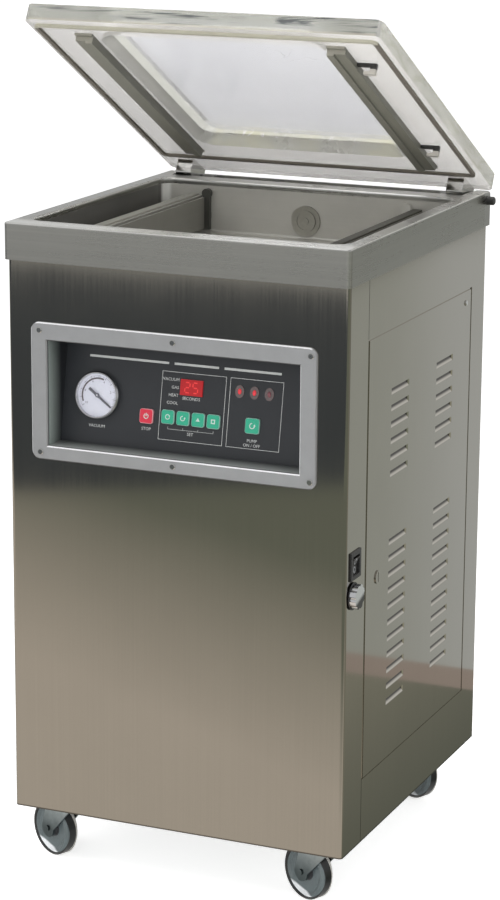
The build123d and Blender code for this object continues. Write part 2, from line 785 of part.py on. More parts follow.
def upper_bars():
    """Holders under the lid that press on the lower seal bars, with a foot at each end."""
    x = seal_x + upper_bar_offset
    half = upper_bar_width / 2
    z0 = lid_under - upper_bar_height
    bar = block(x - half, x + half, seal_front, seal_back, z0, lid_under)
    for y0, y1 in ((seal_front - upper_bar_foot, seal_front), (seal_back, seal_back + upper_bar_foot)):
        bar += block(x - half, x + half, y0, y1, lid_under - upper_bar_foot_thickness, lid_under)
    return opened(bar + mirrored(bar))


def silicone_strips():
    """Strips set in the upper bars, over the heater bands."""
    x = seal_x + seal_line_offset
    z1 = lid_under - upper_bar_height
    strip = block(x - silicone_width / 2, x + silicone_width / 2, seal_front, seal_back, strip_bottom, z1)
    return opened(strip + mirrored(strip))


def bag_clips():
    """Two black hooks beside the right upper bar."""
    x0 = seal_x + upper_bar_offset + upper_bar_width / 2
    x1 = x0 + clip_length
    half = clip_width / 2
    clips = Part()
    for y in [lid_back - place for place in clip_places]:
        under = lid_under - clip_thickness
        clips += block(x0, x1, y - half, y + half, under, lid_under)
        clips += block(x1 - clip_leg, x1, y - half, y + half, lid_under - clip_drop, under)
        clips += block(x1 - 2 * clip_leg, x1 - clip_leg, y - half, y + half, lid_under - clip_drop,
                       lid_under - clip_drop + clip_thickness)
    return opened(clips)


# ---------------------------------------------------------------- control panel

def bezel():
    """Bright frame screwed over the window in the front sheet."""
    x0, x1 = bezel_shift - bezel_width / 2, bezel_shift + bezel_width / 2
    outline = Pos(bezel_shift, body_front, (bezel_bottom + bezel_top) / 2) * Rot(90, 0, 0) * \
        RectangleRounded(x1 - x0, bezel_height, bezel_corner)
    frame = extrude(outline, bezel_thickness)
    frame -= block(bezel_shift - opening_side, bezel_shift + opening_side, body_front - bezel_thickness - 1,
                   body_front + 1, opening_bottom, opening_top)
    front = [e for e in frame.edges() if abs(e.center().Y - (body_front - bezel_thickness)) < 0.01]
    frame = chamfer(front, bezel_chamfer)
    for x, z in bezel_screw_places:
        frame -= rod_y(x, body_front - bezel_thickness - 1, body_front + 1, z, screw_radius + screw_gap)
    return frame


def control_box():
    """Tray behind the window: four walls and a face that leans back, pierced for its controls."""
    w = face_thickness
    x0, x1 = bezel_shift - opening_side, bezel_shift + opening_side
    deep = face_depth + face_length * sin(radians(face_tilt)) + 3
    y0 = body_front + sheet
    box = block(x0 - w, x1 + w, y0, body_front + deep + w, opening_bottom - w, opening_top + w)
    box += block(x0 - box_flange, x1 + box_flange, y0, y0 + w, opening_bottom - box_flange,
                 opening_top + box_flange)
    solid_front = face_plane * Pos(0, face_length / 2, 100) * Box(2 * opening_side, face_length + 40, 200)
    hollow = solid_front & block(x0, x1, y0 - 1, body_front + deep + 60, opening_bottom, opening_top)
    box -= hollow
    behind = face_plane * Pos(0, face_length / 2, -w - 100) * Box(3 * opening_side, face_length + 200, 200)
    box -= behind
    box -= key_hole(stop_place, stop_size)
    for place in key_places:
        box -= key_hole(place, key_size)
    box -= key_hole(big_key_place, big_key_size)
    box -= on_face(*display_place, Box(*display_size, 4 * w))
    for place in lamp_places:
        box -= on_face(*place, Cylinder(lamp_stem, 4 * w))
    box -= on_face(*gauge_place, Cylinder(gauge_stem, 4 * w))
    return box


def key_hole(place, size):
    """Hole through the face, all round a key cap by its gap."""
    outline = RectangleRounded(size + 2 * key_gap, size + 2 * key_gap, key_corner + key_gap)
    return on_face(*place, extrude(Pos(0, 0, -2 * face_thickness) * outline, 3 * face_thickness))


def key(size):
    """Square key cap with rounded corners; its skirt runs through the face."""
    cap = extrude(Pos(0, 0, -face_thickness - 1) * RectangleRounded(size, size, key_corner),
                  face_thickness + 1 + key_proud)
    return chamfer(cap.faces().sort_by(Axis.Z)[-1].edges(), key_chamfer)


def gauge_case():
    """Vacuum gauge: pan with a bright ring, a dial and the needle's pin."""
    case = Pos(0, 0, gauge_depth / 2) * Cylinder(gauge_radius, gauge_depth)
    case = chamfer(case.faces().sort_by(Axis.Z)[-1].edges(), gauge_ring / 2)
    case -= Pos(0, 0, gauge_floor + gauge_depth / 2) * Cylinder(gauge_radius - gauge_ring, gauge_depth)
    case += Pos(0, 0, -gauge_stem_length / 2) * Cylinder(gauge_stem - running_clearance, gauge_stem_length)
    case += Pos(0, 0, gauge_floor + 1.5) * Cylinder(needle_pin, 3)
    return on_face(*gauge_place, case)


def gauge_needle():
    """Pointer on its pin, with a short tail."""
    level = gauge_floor + 1.5
    blade = make_face(Polyline((-1.6, -needle_tail), (1.6, -needle_tail), (0.5, needle_length),
                               (-0.5, needle_length), close=True))
    needle = extrude(Pos(0, 0, level) * blade, 0.8)
    needle += Pos(0, 0, level + 0.4) * Cylinder(3.0, 0.8)
    needle -= Pos(0, 0, level) * Cylinder(needle_pin + running_clearance, 6)
    return on_face(*gauge_place, Rot(0, 0, needle_rest) * needle)


def gauge_lens():
    """Clear window of the gauge."""
    lens = Pos(0, 0, gauge_depth - 0.9) * Cylinder(gauge_radius - gauge_ring, gauge_lens_thickness)
    return on_face(*gauge_place, lens)


def display_window():
    """Red window over the digits."""
    return on_face(*display_place, Box(*display_size, 2 * face_thickness))


def indicator_lamps():
    """Three oval lamps."""
    lamps = Part()
    for place in lamp_places:
        lamp = extrude(Pos(0, 0, 0) * Ellipse(lamp_size[0] / 2, lamp_size[1] / 2), 1.2)
        lamp += Pos(0, 0, -2) * Cylinder(lamp_stem - 0.1, 6)
        lamps += on_face(*place, lamp)
    return lamps


def control_board():
    """Circuit board on pillars behind the face."""
    middle = face_length / 2 - 4
    top = -face_thickness - board_gap + board_size[2] / 2
    board = on_face(0, middle, Pos(0, 0, -face_thickness - board_gap) * Box(*board_size))
    pillar = Pos(0, 0, (top - face_thickness) / 2) * Cylinder(3, -face_thickness - top)
    for x in (-board_size[0] / 2 + 10, board_size[0] / 2 - 10):
        for up in (middle - board_size[1] / 2 + 9, middle + board_size[1] / 2 - 9):
            board += on_face(x, up, pillar)
    return board - on_face(*gauge_place, Cylinder(gauge_stem + 3, 60))


# ---------------------------------------------------------------- switch, knob, lock and screws

def rocker_frame():
    """Black frame and switch body, snapped into the right side."""
    y0, y1 = rocker_y - rocker_width / 2, rocker_y + rocker_width / 2
    z0, z1 = rocker_z - rocker_height / 2, rocker_z + rocker_height / 2
    b = rocker_border
    frame = block(body_side, body_side + rocker_proud, y0, y1, z0, z1)
    outer = [e for e in frame.edges() if abs(e.center().X - body_side - rocker_proud) < 0.01]
    frame = chamfer(outer, 0.8)
    frame += block(body_side - rocker_depth, body_side, y0 + b, y1 - b, z0 + b, z1 - b)
    b += rocker_wall
    return frame - block(body_side - rocker_depth + 2, body_side + rocker_proud + 1, y0 + b, y1 - b,
                         z0 + b, z1 - b)


def rocker():
    """Two faced rocker on its pin, resting with the lower half pressed in."""
    half_y = rocker_width / 2 - rocker_border - rocker_wall - seat_gap
    half_z = rocker_height / 2 - rocker_border - rocker_wall - 1.6
    x = body_side
    pin_x = x - rocker_pin_depth
    outline = [(pin_x, -half_z * 0.7), (x + 1.5, -half_z), (x - 0.5, 0), (x + 1.5, half_z),
               (pin_x, half_z * 0.7)]
    profile = Pos(0, rocker_y - half_y, rocker_z) * make_face(Plane.XZ * Polyline(*outline, close=True))
    body = extrude(profile, 2 * half_y, dir=(0, 1, 0))
    body += rod_y(pin_x, rocker_y - half_y - 0.25, rocker_y + half_y + 0.25, rocker_z, 1.5)
    return body.rotate(Axis((pin_x, rocker_y, rocker_z), (0, 1, 0)), rocker_rest_angle)


def side_knob():
    """Lobed metal knob on a black base, on a spindle through the side."""
    x0, x1 = body_side + knob_base, body_side + knob_proud
    base = rod_x(body_side + seat_gap, x0, knob_y, knob_z, knob_radius)
    grip = rod_x(x0, x1, knob_y, knob_z, knob_radius - 2)
    for i in range(knob_lobes):
        a = 2 * pi * i / knob_lobes
        grip -= rod_x(x0, x1, knob_y + knob_radius * cos(a), knob_z + knob_radius * sin(a), knob_flute)
    return base + grip + rod_x(wall_inner - 6, body_side + 1, knob_y, knob_z, spindle_radius)


def cam_lock():
    """Quarter turn lock of the right access panel."""
    head = rod_x(body_side, body_side + 1.5, lock_y, lock_z, lock_radius)
    head -= block(body_side + 0.7, body_side + 2, lock_y - 1, lock_y + 1, lock_z - 7, lock_z + 7)
    cam_back = wall_inner - sheet - seat_gap
    body = rod_x(cam_back - cam_thickness, body_side, lock_y, lock_z, lock_radius * 0.7)
    cam = block(cam_back - cam_thickness, cam_back, panel_front + flange - cam_grip, lock_y,
                lock_z - cam_width / 2, lock_z + cam_width / 2)
    return head + body + cam


def screw():
    """Pan head screw pointing along -Z, seated at z = 0."""
    head = Pos(0, 0, screw_head_height / 2) * Cylinder(screw_head_radius, screw_head_height)
    head = chamfer(head.faces().sort_by(Axis.Z)[-1].edges(), screw_head_height * 0.4)
    return head + Pos(0, 0, -screw_length / 2) * Cylinder(screw_radius, screw_length)


def machine_screws():
    """The casing's fasteners: bezel, side panels and rear panel."""
    one = screw()
    screws = Part()
    for x, z in bezel_screw_places:
        screws += Pos(x, body_front - bezel_thickness, z) * Rot(90, 0, 0) * one
    for side in (-1, 1):
        screws += Pos(side * body_side, panel_screw_y, panel_screw_z) * Rot(0, 90 * side, 0) * one
    for x, z in rear_screw_places:
        screws += Pos(x, body_back, z) * Rot(-90, 0, 0) * one
    return screws


# ---------------------------------------------------------------- inside

def vacuum_pump():
    """Oil sealed rotary vane pump and its motor on one foot."""
    half = pump_width / 2
    head_back = pump_front + pump_head_length
    pump_back = pump_front + pump_length
    body = slab(-half, half, pump_front, head_back, pan_top + pump_foot, pump_top, pump_corner)
    body += rod_y(0, head_back, pump_back, motor_z, motor_radius)
    body += block(-half + 10, half - 10, pump_front + 10, pump_back - 20, pan_top, pan_top + pump_foot + 2)
    body += rod(0, inlet_y, pump_top - 10, inlet_top, inlet_radius)
    length, width, height = terminal_box
    box_y = (head_back + pump_back) / 2
    body += block(-width / 2, width / 2, box_y - length / 2, box_y + length / 2,
                  motor_z + motor_radius - 7, motor_z + motor_radius - 7 + height)
    return body


def transformer():
    """Laminated transformer for the heater bands, its coil round the middle limb."""
    x0 = -wall_inner + core_inset
    y1 = core_front + core_size
    middle = x0 + core_size / 2
    core = block(x0, x0 + core_size, core_front, y1, pan_top, pan_top + core_height)
    for x in (middle - coil_width / 2 - core_limb, middle + coil_width / 2):
        core -= block(x, x + core_limb, core_front - 1, y1 + 1, pan_top + core_limb,
                      pan_top + core_height - core_limb)
    core += slab(middle - coil_width / 2, middle + coil_width / 2, core_front - coil_proud, y1 + coil_proud,
                 pan_top + core_limb, pan_top + core_height - core_limb, coil_proud / 2)
    return core


def solenoid_valves():
    """Three valves on one manifold."""
    x1 = wall_inner - manifold_inset
    x_middle = x1 - manifold_length / 2
    y_middle = core_front + manifold_width / 2
    top = pan_top + manifold_height
    valves = block(x1 - manifold_length, x1, core_front, core_front + manifold_width, pan_top, top)
    for i in (-1, 0, 1):
        valves += rod(x_middle + i * valve_pitch, y_middle, top, top + valve_height, valve_radius)
    return valves


def vacuum_hose():
    """Hose from the pump's inlet to the port behind the chamber."""
    level = inlet_top + hose_rise
    hose_end = port_z - hose_radius - 2
    path = FilletPolyline((0, inlet_y, inlet_top), (0, inlet_y, level), (0, hose_y, level),
                          (0, hose_y, hose_end), radius=hose_bend)
    hose = sweep(Plane(origin=(0, inlet_y, inlet_top), z_dir=(0, 0, 1)) * Circle(hose_radius), path)
    elbow = rod(0, hose_y, hose_end, port_z + hose_radius + 2, hose_radius)
    return hose + elbow + rod_y(0, chamber_back + chamber_wall + 2, hose_y, port_z, hose_radius - 1)


# ---------------------------------------------------------------- casters

def caster_plates():
    """Top plates with their ball races, bolted under the base pan."""
    bolt_head = extrude(RegularPolygon(bolt_head_radius, 6), bolt_head_height)
    plates = Part()
    for x in (-caster_x, caster_x):
        for y in (caster_front_y, caster_back_y):
            plate = slab(x - caster_plate_width / 2, x + caster_plate_width / 2, y - caster_plate_length / 2,
                         y + caster_plate_length / 2, base_floor - caster_plate_thickness, base_floor, 5)
            plate += rod(x, y, crown_top + seat_gap, base_floor - caster_plate_thickness, race_radius)
            plate += rod(x, y, crown_bottom - 2, base_floor - 1, stud_radius)
            for dx in (-1, 1):
                for dy in (-1, 1):
                    bx = x + dx * (caster_plate_width / 2 - bolt_inset)
                    by = y + dy * (caster_plate_length / 2 - bolt_inset)
                    head_z = base_floor - caster_plate_thickness - bolt_head_height
                    plate += rod(bx, by, head_z, base_floor + bolt_reach, bolt_radius)
                    plate += Pos(bx, by, head_z) * bolt_head
            plates += plate
    return plates


def caster_fork():
    """Fork with riveted axle, at its swivel axis, trailing towards -X."""
    half = wheel_width / 2 + fork_side_gap
    crown = rod(0, 0, crown_bottom, crown_top, crown_radius)
    reach = crown_radius - 2
    leg_face = Plane.XZ * make_face([Line((-reach, crown_top), (reach, crown_top)),
                                     Line((reach, crown_top), (reach, crown_bottom - 8)),
                                     Line((reach, crown_bottom - 8), (-caster_offset + leg_end, wheel_radius)),
                                     ThreePointArc((-caster_offset + leg_end, wheel_radius),
                                                   (-caster_offset, wheel_radius - leg_end),
                                                   (-caster_offset - leg_end, wheel_radius)),
                                     Line((-caster_offset - leg_end, wheel_radius), (-reach, crown_top))])
    leg = Pos(0, -half, 0) * extrude(leg_face, fork_leg)
    fork = crown + leg + mirror(leg, about=Plane.XZ)
    fork -= rod(0, 0, crown_bottom - 3, crown_top + 1, stud_radius + running_clearance)
    axle_end = half + fork_leg + axle_head
    fork += rod_y(-caster_offset, -axle_end, axle_end, wheel_radius, axle_radius)
    return fork


def caster_wheel():
    """Solid wheel with a bored hub, a dished web and a tyre with bevelled shoulders."""
    half = wheel_width / 2
    web = half - wheel_recess
    rim = wheel_radius - tyre_width
    side = [(axle_radius + running_clearance, half + hub_proud), (hub_radius, half + hub_proud),
            (hub_radius + 1, web), (rim - wheel_recess_slope, web), (rim, half),
            (wheel_radius - tyre_shoulder, half), (wheel_radius, half - tyre_shoulder)]
    outline = side + [(r, -y) for r, y in reversed(side)]
    wheel = revolve(make_face(Polyline(*outline, close=True)), Axis.Y)
    return Pos(-caster_offset, 0, wheel_radius) * wheel


# ---------------------------------------------------------------- export

parts = {
    "base_pan": base_pan(),
    "front_sheet": front_sheet(),
    "side_frame_right": side_frame(),
    "louvred_panel_right": louvred_panel(),
    "rear_panel": rear_panel(),
    "cable_gland": cable_gland(),
    "collar": collar(),
    "chamber_basin": chamber_basin(),
    "rear_housing": rear_housing(),
    "hinge_shaft": hinge_shaft(),
    "shaft_caps": shaft_caps(),
    "torsion_springs": torsion_springs(),
    "vacuum_port_cap": vacuum_port_cap(),
    "lift_cylinders": lift_cylinders(),
    "bar_guides": bar_guides(),
    "seal_bar_right": seal_bar(),
    "heater_cover_right": heater_cover(),
    "lid": lid(),
    "lid_gasket": lid_gasket(),
    "hinge_arms": hinge_arms(),
    "upper_bars": upper_bars(),
    "silicone_strips": silicone_strips(),
    "bag_clips": bag_clips(),
    "bezel": bezel(),
    "control_box": control_box(),
    "stop_button": on_face(*stop_place, key(stop_size)),
    "gauge_case": gauge_case(),
    "gauge_needle": gauge_needle(),
    "gauge_lens": gauge_lens(),
    "display_window": display_window(),
    "indicator_lamps": indicator_lamps(),
    "control_board": control_board(),
    "rocker_frame": rocker_frame(),
    "rocker": rocker(),
    "side_knob": side_knob(),
    "cam_lock": cam_lock(),
    "machine_screws": machine_screws(),
    "vacuum_pump": vacuum_pump(),
    "transformer": transformer(),
    "solenoid_valves": solenoid_valves(),
    "vacuum_hose": vacuum_hose(),
    "caster_plates": caster_plates(),
}
for name in ("side_frame", "louvred_panel", "seal_bar", "heater_cover"):
    parts[name + "_left"] = mirrored(parts[name + "_right"])
for number, place in enumerate(key_places, start=1):
    parts[f"key_{number}"] = on_face(*place, key(key_size))
parts["key_5"] = on_face(*big_key_place, key(big_key_size))
for end, y in (("front", caster_front_y), ("rear", caster_back_y)):
    for side, x in (("left", -caster_x), ("right", caster_x)):
        place = Pos(x, y, 0) * Rot(0, 0, caster_angle - 180)
        parts[f"caster_fork_{end}_{side}"] = place * caster_fork()
        parts[f"caster_wheel_{end}_{side}"] = place * caster_wheel()

os.makedirs("parts", exist_ok=True)
for name, shape in parts.items():
    export_step(shape, f"parts/{name}.step")
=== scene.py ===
from math import cos, pi, radians, sin

import bmesh
import bpy
import numpy as np
from bpy.props import FloatProperty, FloatVectorProperty, IntProperty, PointerProperty, StringProperty
from mathutils import Matrix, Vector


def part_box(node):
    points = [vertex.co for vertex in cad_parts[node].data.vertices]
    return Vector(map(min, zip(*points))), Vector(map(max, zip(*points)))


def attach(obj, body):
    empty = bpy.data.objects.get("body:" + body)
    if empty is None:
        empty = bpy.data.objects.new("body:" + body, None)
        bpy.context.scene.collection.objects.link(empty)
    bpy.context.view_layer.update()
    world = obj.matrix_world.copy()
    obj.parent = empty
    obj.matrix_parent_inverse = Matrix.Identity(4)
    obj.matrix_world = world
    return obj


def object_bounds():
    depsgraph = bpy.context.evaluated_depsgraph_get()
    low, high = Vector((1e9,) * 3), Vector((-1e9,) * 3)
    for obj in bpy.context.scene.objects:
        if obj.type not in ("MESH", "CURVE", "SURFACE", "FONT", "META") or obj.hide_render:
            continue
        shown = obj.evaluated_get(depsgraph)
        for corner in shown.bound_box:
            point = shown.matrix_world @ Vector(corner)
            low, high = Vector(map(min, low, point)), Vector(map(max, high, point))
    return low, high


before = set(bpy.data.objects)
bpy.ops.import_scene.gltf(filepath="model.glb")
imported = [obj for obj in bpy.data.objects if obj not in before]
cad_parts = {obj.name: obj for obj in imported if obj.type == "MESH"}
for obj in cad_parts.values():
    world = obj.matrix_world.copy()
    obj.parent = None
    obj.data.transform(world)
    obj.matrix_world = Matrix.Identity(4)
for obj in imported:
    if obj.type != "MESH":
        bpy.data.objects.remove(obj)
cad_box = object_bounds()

bl_info = {
    "name": "Vacuum Packing Machine Finishes",
    "version": (1, 0, 0),
    "blender": (4, 5, 0),
    "location": "3D View > Sidebar > Packing Machine",
    "description": "Finishes and printed details of a floor standing chamber vacuum packing machine",
    "category": "Object",
}

MM = 0.001
RIGHT, LEFT, FRONT, TOP = (1, 0, 0), (-1, 0, 0), (0, -1, 0), (0, 0, 1)

# A patch of colour comes in between two cosines of the angle that a surface makes with its way
BROAD = (0.8, 0.95)
CLOSE = (0.9, 0.98)
BEVEL = (0.93, 0.98)
SLANT = 0.707                  # each part of a way that lies between two others

FACE_TILT = radians(10.24)     # the control face leans back
FACE_ACROSS = (1.0, 0.0, 0.0)
FACE_UP = (0.0, sin(FACE_TILT), cos(FACE_TILT))
DISPLAY_ACROSS = 5.5 * MM      # the display's middle from the bezel's middle
DISPLAY_UP = 87.3 * MM         # and from the face's lower edge
LID_OPEN = radians(29.05)      # how far the lid stands open at rest
ACRYLIC_IOR = 1.49             # how strongly the lid and the gauge's window bend light
LID_WINDOW = 17 * MM           # the lid's window lies this far above its gasket
GAUGE_DEPTH = 9.0 * MM         # the gauge stands this far off the face
GAUGE_FLOOR = 3.5 * MM         # its dial lies this far off the face
CARD_THICKNESS = 0.25 * MM
CARD_HOLE = 1.3 * MM           # round the needle's pin
NEEDLE_REST = -35.0            # degrees from level
SUNK = 0.02 * MM               # print reaches this far into what carries it
PRINT_HEIGHT = 0.1 * MM
SYMBOL_HEIGHT = 0.08 * MM
FIGURE_HEIGHT = 0.06 * MM
FRAME_LEVELS = (15.4 * MM, 106.4 * MM)              # lower and upper edge of the printed frames
TITLE_BARS = ((-146, -30), (-22, 42), (50, 131))    # ends of the bars over them, in mm
TITLE_UP = 117 * MM            # middle of the title bars, from the face's lower edge
LAMP_HALF = 6.5 * MM           # half a lamp and its rim
DARK_REACH = 4.18              # the dark floor that the front reflects reaches this far
ROCKER_WAIST = 4 * MM          # half the part of the rocker that holds its ridge

GROUPS = {}
FINISHES = {}


# ---------------------------------------------------------------- settings

def colour(name, description, default):
    """A colour in the sidebar."""
    return FloatVectorProperty(name=name, description=description, subtype="COLOR", size=3, min=0, max=1,
                               default=default)


def length(name, description, low, high, default):
    """A length in the sidebar."""
    return FloatProperty(name=name, description=description, subtype="DISTANCE", unit="LENGTH",
                         min=low, max=high, default=default)


def angle(name, description, default, **limits):
    """An angle in the sidebar."""
    return FloatProperty(name=name, description=description, subtype="ANGLE", unit="ROTATION",
                         default=default, **limits)


class SteelSettings(bpy.types.PropertyGroup):
    """Colours and grain of the machine's sheet metal."""

    casing_colour: colour(
        "Casing colour", "Bare stainless steel of the cabinet sheets", (0.42, 0.40, 0.355))
    band_colour: colour("Band colour", "Stainless steel of the collar round the top", (0.52, 0.52, 0.495))
    chamber_colour: colour("Chamber colour", "Stainless steel of the vacuum chamber", (0.46, 0.45, 0.41))
    casing_roughness: FloatProperty(
        name="Casing roughness", description="Mean roughness of the cabinet sheets",
        subtype="FACTOR", min=0, max=1, default=0.075)
    grain_lines: FloatProperty(
        name="Grain lines", description="Brush lines in a metre across the grain",
        min=10, max=2000, default=420)


class PanelSettings(bpy.types.PropertyGroup):
    """Sizes and colours of what is printed on the control face."""

    ink_colour: colour("Ink colour", "White screen print", (0.42, 0.43, 0.42))
    line_width: length("Line width", "Width of the printed frames", 0.0002, 0.003, 0.0006)
    word_height: length("Word height", "Height of the small printed words", 0.001, 0.01, 0.0042)
    digit_height: length("Digit height", "Height of the lit digits", 0.004, 0.02, 0.0135)
    reading: StringProperty(
        name="Reading", description="Figures on the lit display", default="25")


class DialSettings(bpy.types.PropertyGroup):
    """Divisions of the vacuum gauge's dial."""

    divisions: IntProperty(
        name="Divisions", description="Numbered divisions round the dial", min=2, max=20, default=10)
    small_marks: IntProperty(
        name="Small marks", description="Short marks in each division", min=1, max=10, default=5)
    sweep: angle("Sweep", "Angle that the scale covers", radians(250), min=1, max=6)


class StageSettings(bpy.types.PropertyGroup):
    """Floor, lamps and camera."""

    floor_size: length("Floor size", "Side of the square floor", 5, 200, 80)
    floor_colour: colour("Floor colour", "Pale floor", (0.9, 0.9, 0.9))
    lens: FloatProperty(
        name="Lens", description="Focal length on a 36 mm long side", min=20, max=300, default=112.34)
    camera_place: FloatVectorProperty(
        name="Camera place", description="Where the camera stands",
        subtype="TRANSLATION", unit="LENGTH", size=3, default=(1.5, -3.4884, 1.5132))
    camera_azimuth: angle("Camera azimuth", "Turn of the camera round the machine", radians(23.383))
    camera_elevation: angle("Camera elevation", "How far the camera looks down", radians(14.086))
    camera_roll: angle("Camera roll", "Turn of the camera about its own line of sight", radians(0.388))


# ---------------------------------------------------------------- shader helpers

def add(tree, kind, inputs=None, **settings):
    """Add a node. inputs maps a socket's name or number to a value or to another node's socket."""
    made = tree.nodes.new(kind)
    for key, value in settings.items():
        setattr(made, key, value)
    for key, value in (inputs or {}).items():
        if isinstance(value, bpy.types.NodeSocket):
            tree.links.new(value, made.inputs[key])
        else:
            made.inputs[key].default_value = value
    return made


def maths(tree, operation, *values):
    """Add a Math node and give its output."""
    return add(tree, "ShaderNodeMath", dict(enumerate(values)), operation=operation).outputs[0]


def product(tree, first, *others):
    """Values multiplied."""
    for value in others:
        first = maths(tree, "MULTIPLY", first, value)
    return first


def total(tree, first, *others):
    """Values added up."""
    for value in others:
        first = maths(tree, "ADD", first, value)
    return first


def spread(tree, factor, amount):
    """A value from 0 to 1 turned into one about zero, amount wide."""
    return product(tree, maths(tree, "SUBTRACT", factor, 0.5), amount)


def between(tree, value, start, stop):
    """0 at the start, 1 at the stop."""
    return add(tree, "ShaderNodeMapRange", {"Value": value, "From Min": start, "From Max": stop}).outputs[0]


def noise(tree, place, scale, detail=2.0, roughness=0.5, distortion=0.0):
    """Soft noise from 0 to 1."""
    return add(tree, "ShaderNodeTexNoise", {"Vector": place, "Scale": scale, "Detail": detail,
                                            "Roughness": roughness, "Distortion": distortion}).outputs[0]


def vectors(tree, operation, first, second):
    """Add a Vector Math node and give its output."""
    made = add(tree, "ShaderNodeVectorMath", {0: first, 1: second}, operation=operation)
    return made.outputs["Value" if operation == "DOT_PRODUCT" else 0]


def object_place(tree):
    """The shaded point in the object's own frame."""
    return add(tree, "ShaderNodeTexCoord").outputs["Object"]


def upward(tree):
    """How far the surface faces up, from -1 to 1."""
    normal = add(tree, "ShaderNodeNewGeometry").outputs["Normal"]
    return add(tree, "ShaderNodeSeparateXYZ", {0: normal}).outputs["Z"]


def along_way(tree, way):
    """How far a point lies along one way."""
    return vectors(tree, "DOT_PRODUCT", object_place(tree), tuple(way))


def toned(tree, colour, tone):
    """A colour made lighter or darker by a varying tone."""
    base = colour if isinstance(colour, bpy.types.NodeSocket) else tuple(colour)
    return add(tree, "ShaderNodeVectorMath", {0: base, "Scale": tone}, operation="SCALE").outputs[0]


def bumped(tree, height, distance):
    """Normal from a height."""
    return add(tree, "ShaderNodeBump", {"Height": height, "Distance": distance, "Strength": 1.0}).outputs[0]


def blended(tree, factor, first, second):
    """One colour turned into another by a factor; each may be a socket."""
    ends = [value if isinstance(value, bpy.types.NodeSocket) else (*value, 1) for value in (first, second)]
    return add(tree, "ShaderNodeMix", {"Factor": factor, 6: ends[0], 7: ends[1]},
               data_type="RGBA").outputs[2]


def group(name, inputs, outputs):
    """Start a shader node group. inputs maps a name to its default; outputs are names of values."""
    tree = bpy.data.node_groups.new(name, "ShaderNodeTree")
    for key, value in inputs.items():
        kind = "NodeSocketVector" if isinstance(value, tuple) else "NodeSocketFloat"
        tree.interface.new_socket(name=key, in_out="INPUT", socket_type=kind).default_value = value
    for key in outputs:
        tree.interface.new_socket(name=key, in_out="OUTPUT", socket_type="NodeSocketFloat")
    return tree, tree.nodes.new("NodeGroupInput").outputs


def closed(tree, results):
    """Finish a node group: results maps an output's name to its socket."""
    add(tree, "NodeGroupOutput", results)
    return tree


def brushed_grain():
    """Brush lines: noise drawn out along the grain, and a wide soft mottle over it."""
    tree, given = group(
        "Brushed Grain",
        {"Stretch": (160, 160, 3), "Top Stretch": (3, 160, 160), "Tone Spread": 0.3, "Mottle Spread": 0.2,
         "Mottle Scale": 7.0, "Roughness": 0.25, "Roughness Spread": 0.1},
        ("Tone", "Roughness", "Height"))
    place = object_place(tree)
    lying = maths(tree, "GREATER_THAN", maths(tree, "ABSOLUTE", upward(tree)), 0.7)
    stretch = add(tree, "ShaderNodeMix", {"Factor": lying, 4: given["Stretch"], 5: given["Top Stretch"]},
                  data_type="VECTOR").outputs[1]
    lines = noise(tree, vectors(tree, "MULTIPLY", place, stretch), 1.0, 3.0, 0.6)
    mottle = noise(tree, place, given["Mottle Scale"], 4.0, 0.6)
    tone = total(tree, spread(tree, lines, given["Tone Spread"]),
                 spread(tree, mottle, given["Mottle Spread"]))
    rough = total(tree, *(spread(tree, value, given["Roughness Spread"]) for value in (lines, mottle)))
    return closed(tree, {"Tone": total(tree, tone, 1.0), "Height": lines,
                         "Roughness": total(tree, rough, given["Roughness"])})


def moulded_skin():
    """Fine pebble of a moulded or painted skin, with handling marks and dust that settles on top faces."""
    tree, given = group(
        "Moulded Skin",
        {"Scale": 900.0, "Tone Spread": 0.15, "Dust": 0.2, "Roughness": 0.45, "Roughness Spread": 0.15},
        ("Tone", "Roughness", "Height", "Dust"))
    place = object_place(tree)
    pebble = noise(tree, place, given["Scale"])
    handled = noise(tree, place, 45.0, 5.0, 0.65)
    dust = product(tree, maths(tree, "MAXIMUM", upward(tree), 0.0), handled, given["Dust"])
    tone = total(tree, *(spread(tree, value, given["Tone Spread"]) for value in (pebble, handled)))
    rough = total(tree, given["Roughness"], spread(tree, handled, given["Roughness Spread"]))
    return closed(tree, {"Tone": total(tree, tone, 1.0), "Roughness": rough, "Height": pebble, "Dust": dust})


def wheel_zones():
    """Parts of a wheel by distance from its axle: 1 on the tread, the tyre's shoulder and the hub."""
    tree, given = group(
        "Wheel Zones",
        {"Centre": (0, 0, 0), "Axle": (0, 1, 0), "Tread Radius": 0.04, "Rim Radius": 0.034,
         "Hub Radius": 0.012},
        ("Tread", "Shoulder", "Hub"))
    beside = vectors(tree, "CROSS_PRODUCT", vectors(tree, "SUBTRACT", object_place(tree), given["Centre"]),
                     given["Axle"])
    radius = add(tree, "ShaderNodeVectorMath", {0: beside}, operation="LENGTH").outputs["Value"]
    tread = maths(tree, "GREATER_THAN", radius, given["Tread Radius"])
    outer = maths(tree, "GREATER_THAN", radius, given["Rim Radius"])
    return closed(tree, {"Tread": tread, "Shoulder": maths(tree, "SUBTRACT", outer, tread),
                         "Hub": maths(tree, "LESS_THAN", radius, given["Hub Radius"])})


def facing():
    """How far a surface faces one way: 0 below the lower limit of the cosine, 1 above the upper one."""
    tree, given = group("Facing", {"Way": (0, 0, 1), "Low": 0.8, "High": 0.95}, ("Mask",))
    cosine = vectors(tree, "DOT_PRODUCT", add(tree, "ShaderNodeTexCoord").outputs["Normal"], given["Way"])
    return closed(tree, {"Mask": between(tree, cosine, given["Low"], given["High"])})


def grouped(tree, name, inputs):
    """Use a node group and give its outputs."""
    return add(tree, "ShaderNodeGroup", inputs, node_tree=GROUPS[name]).outputs


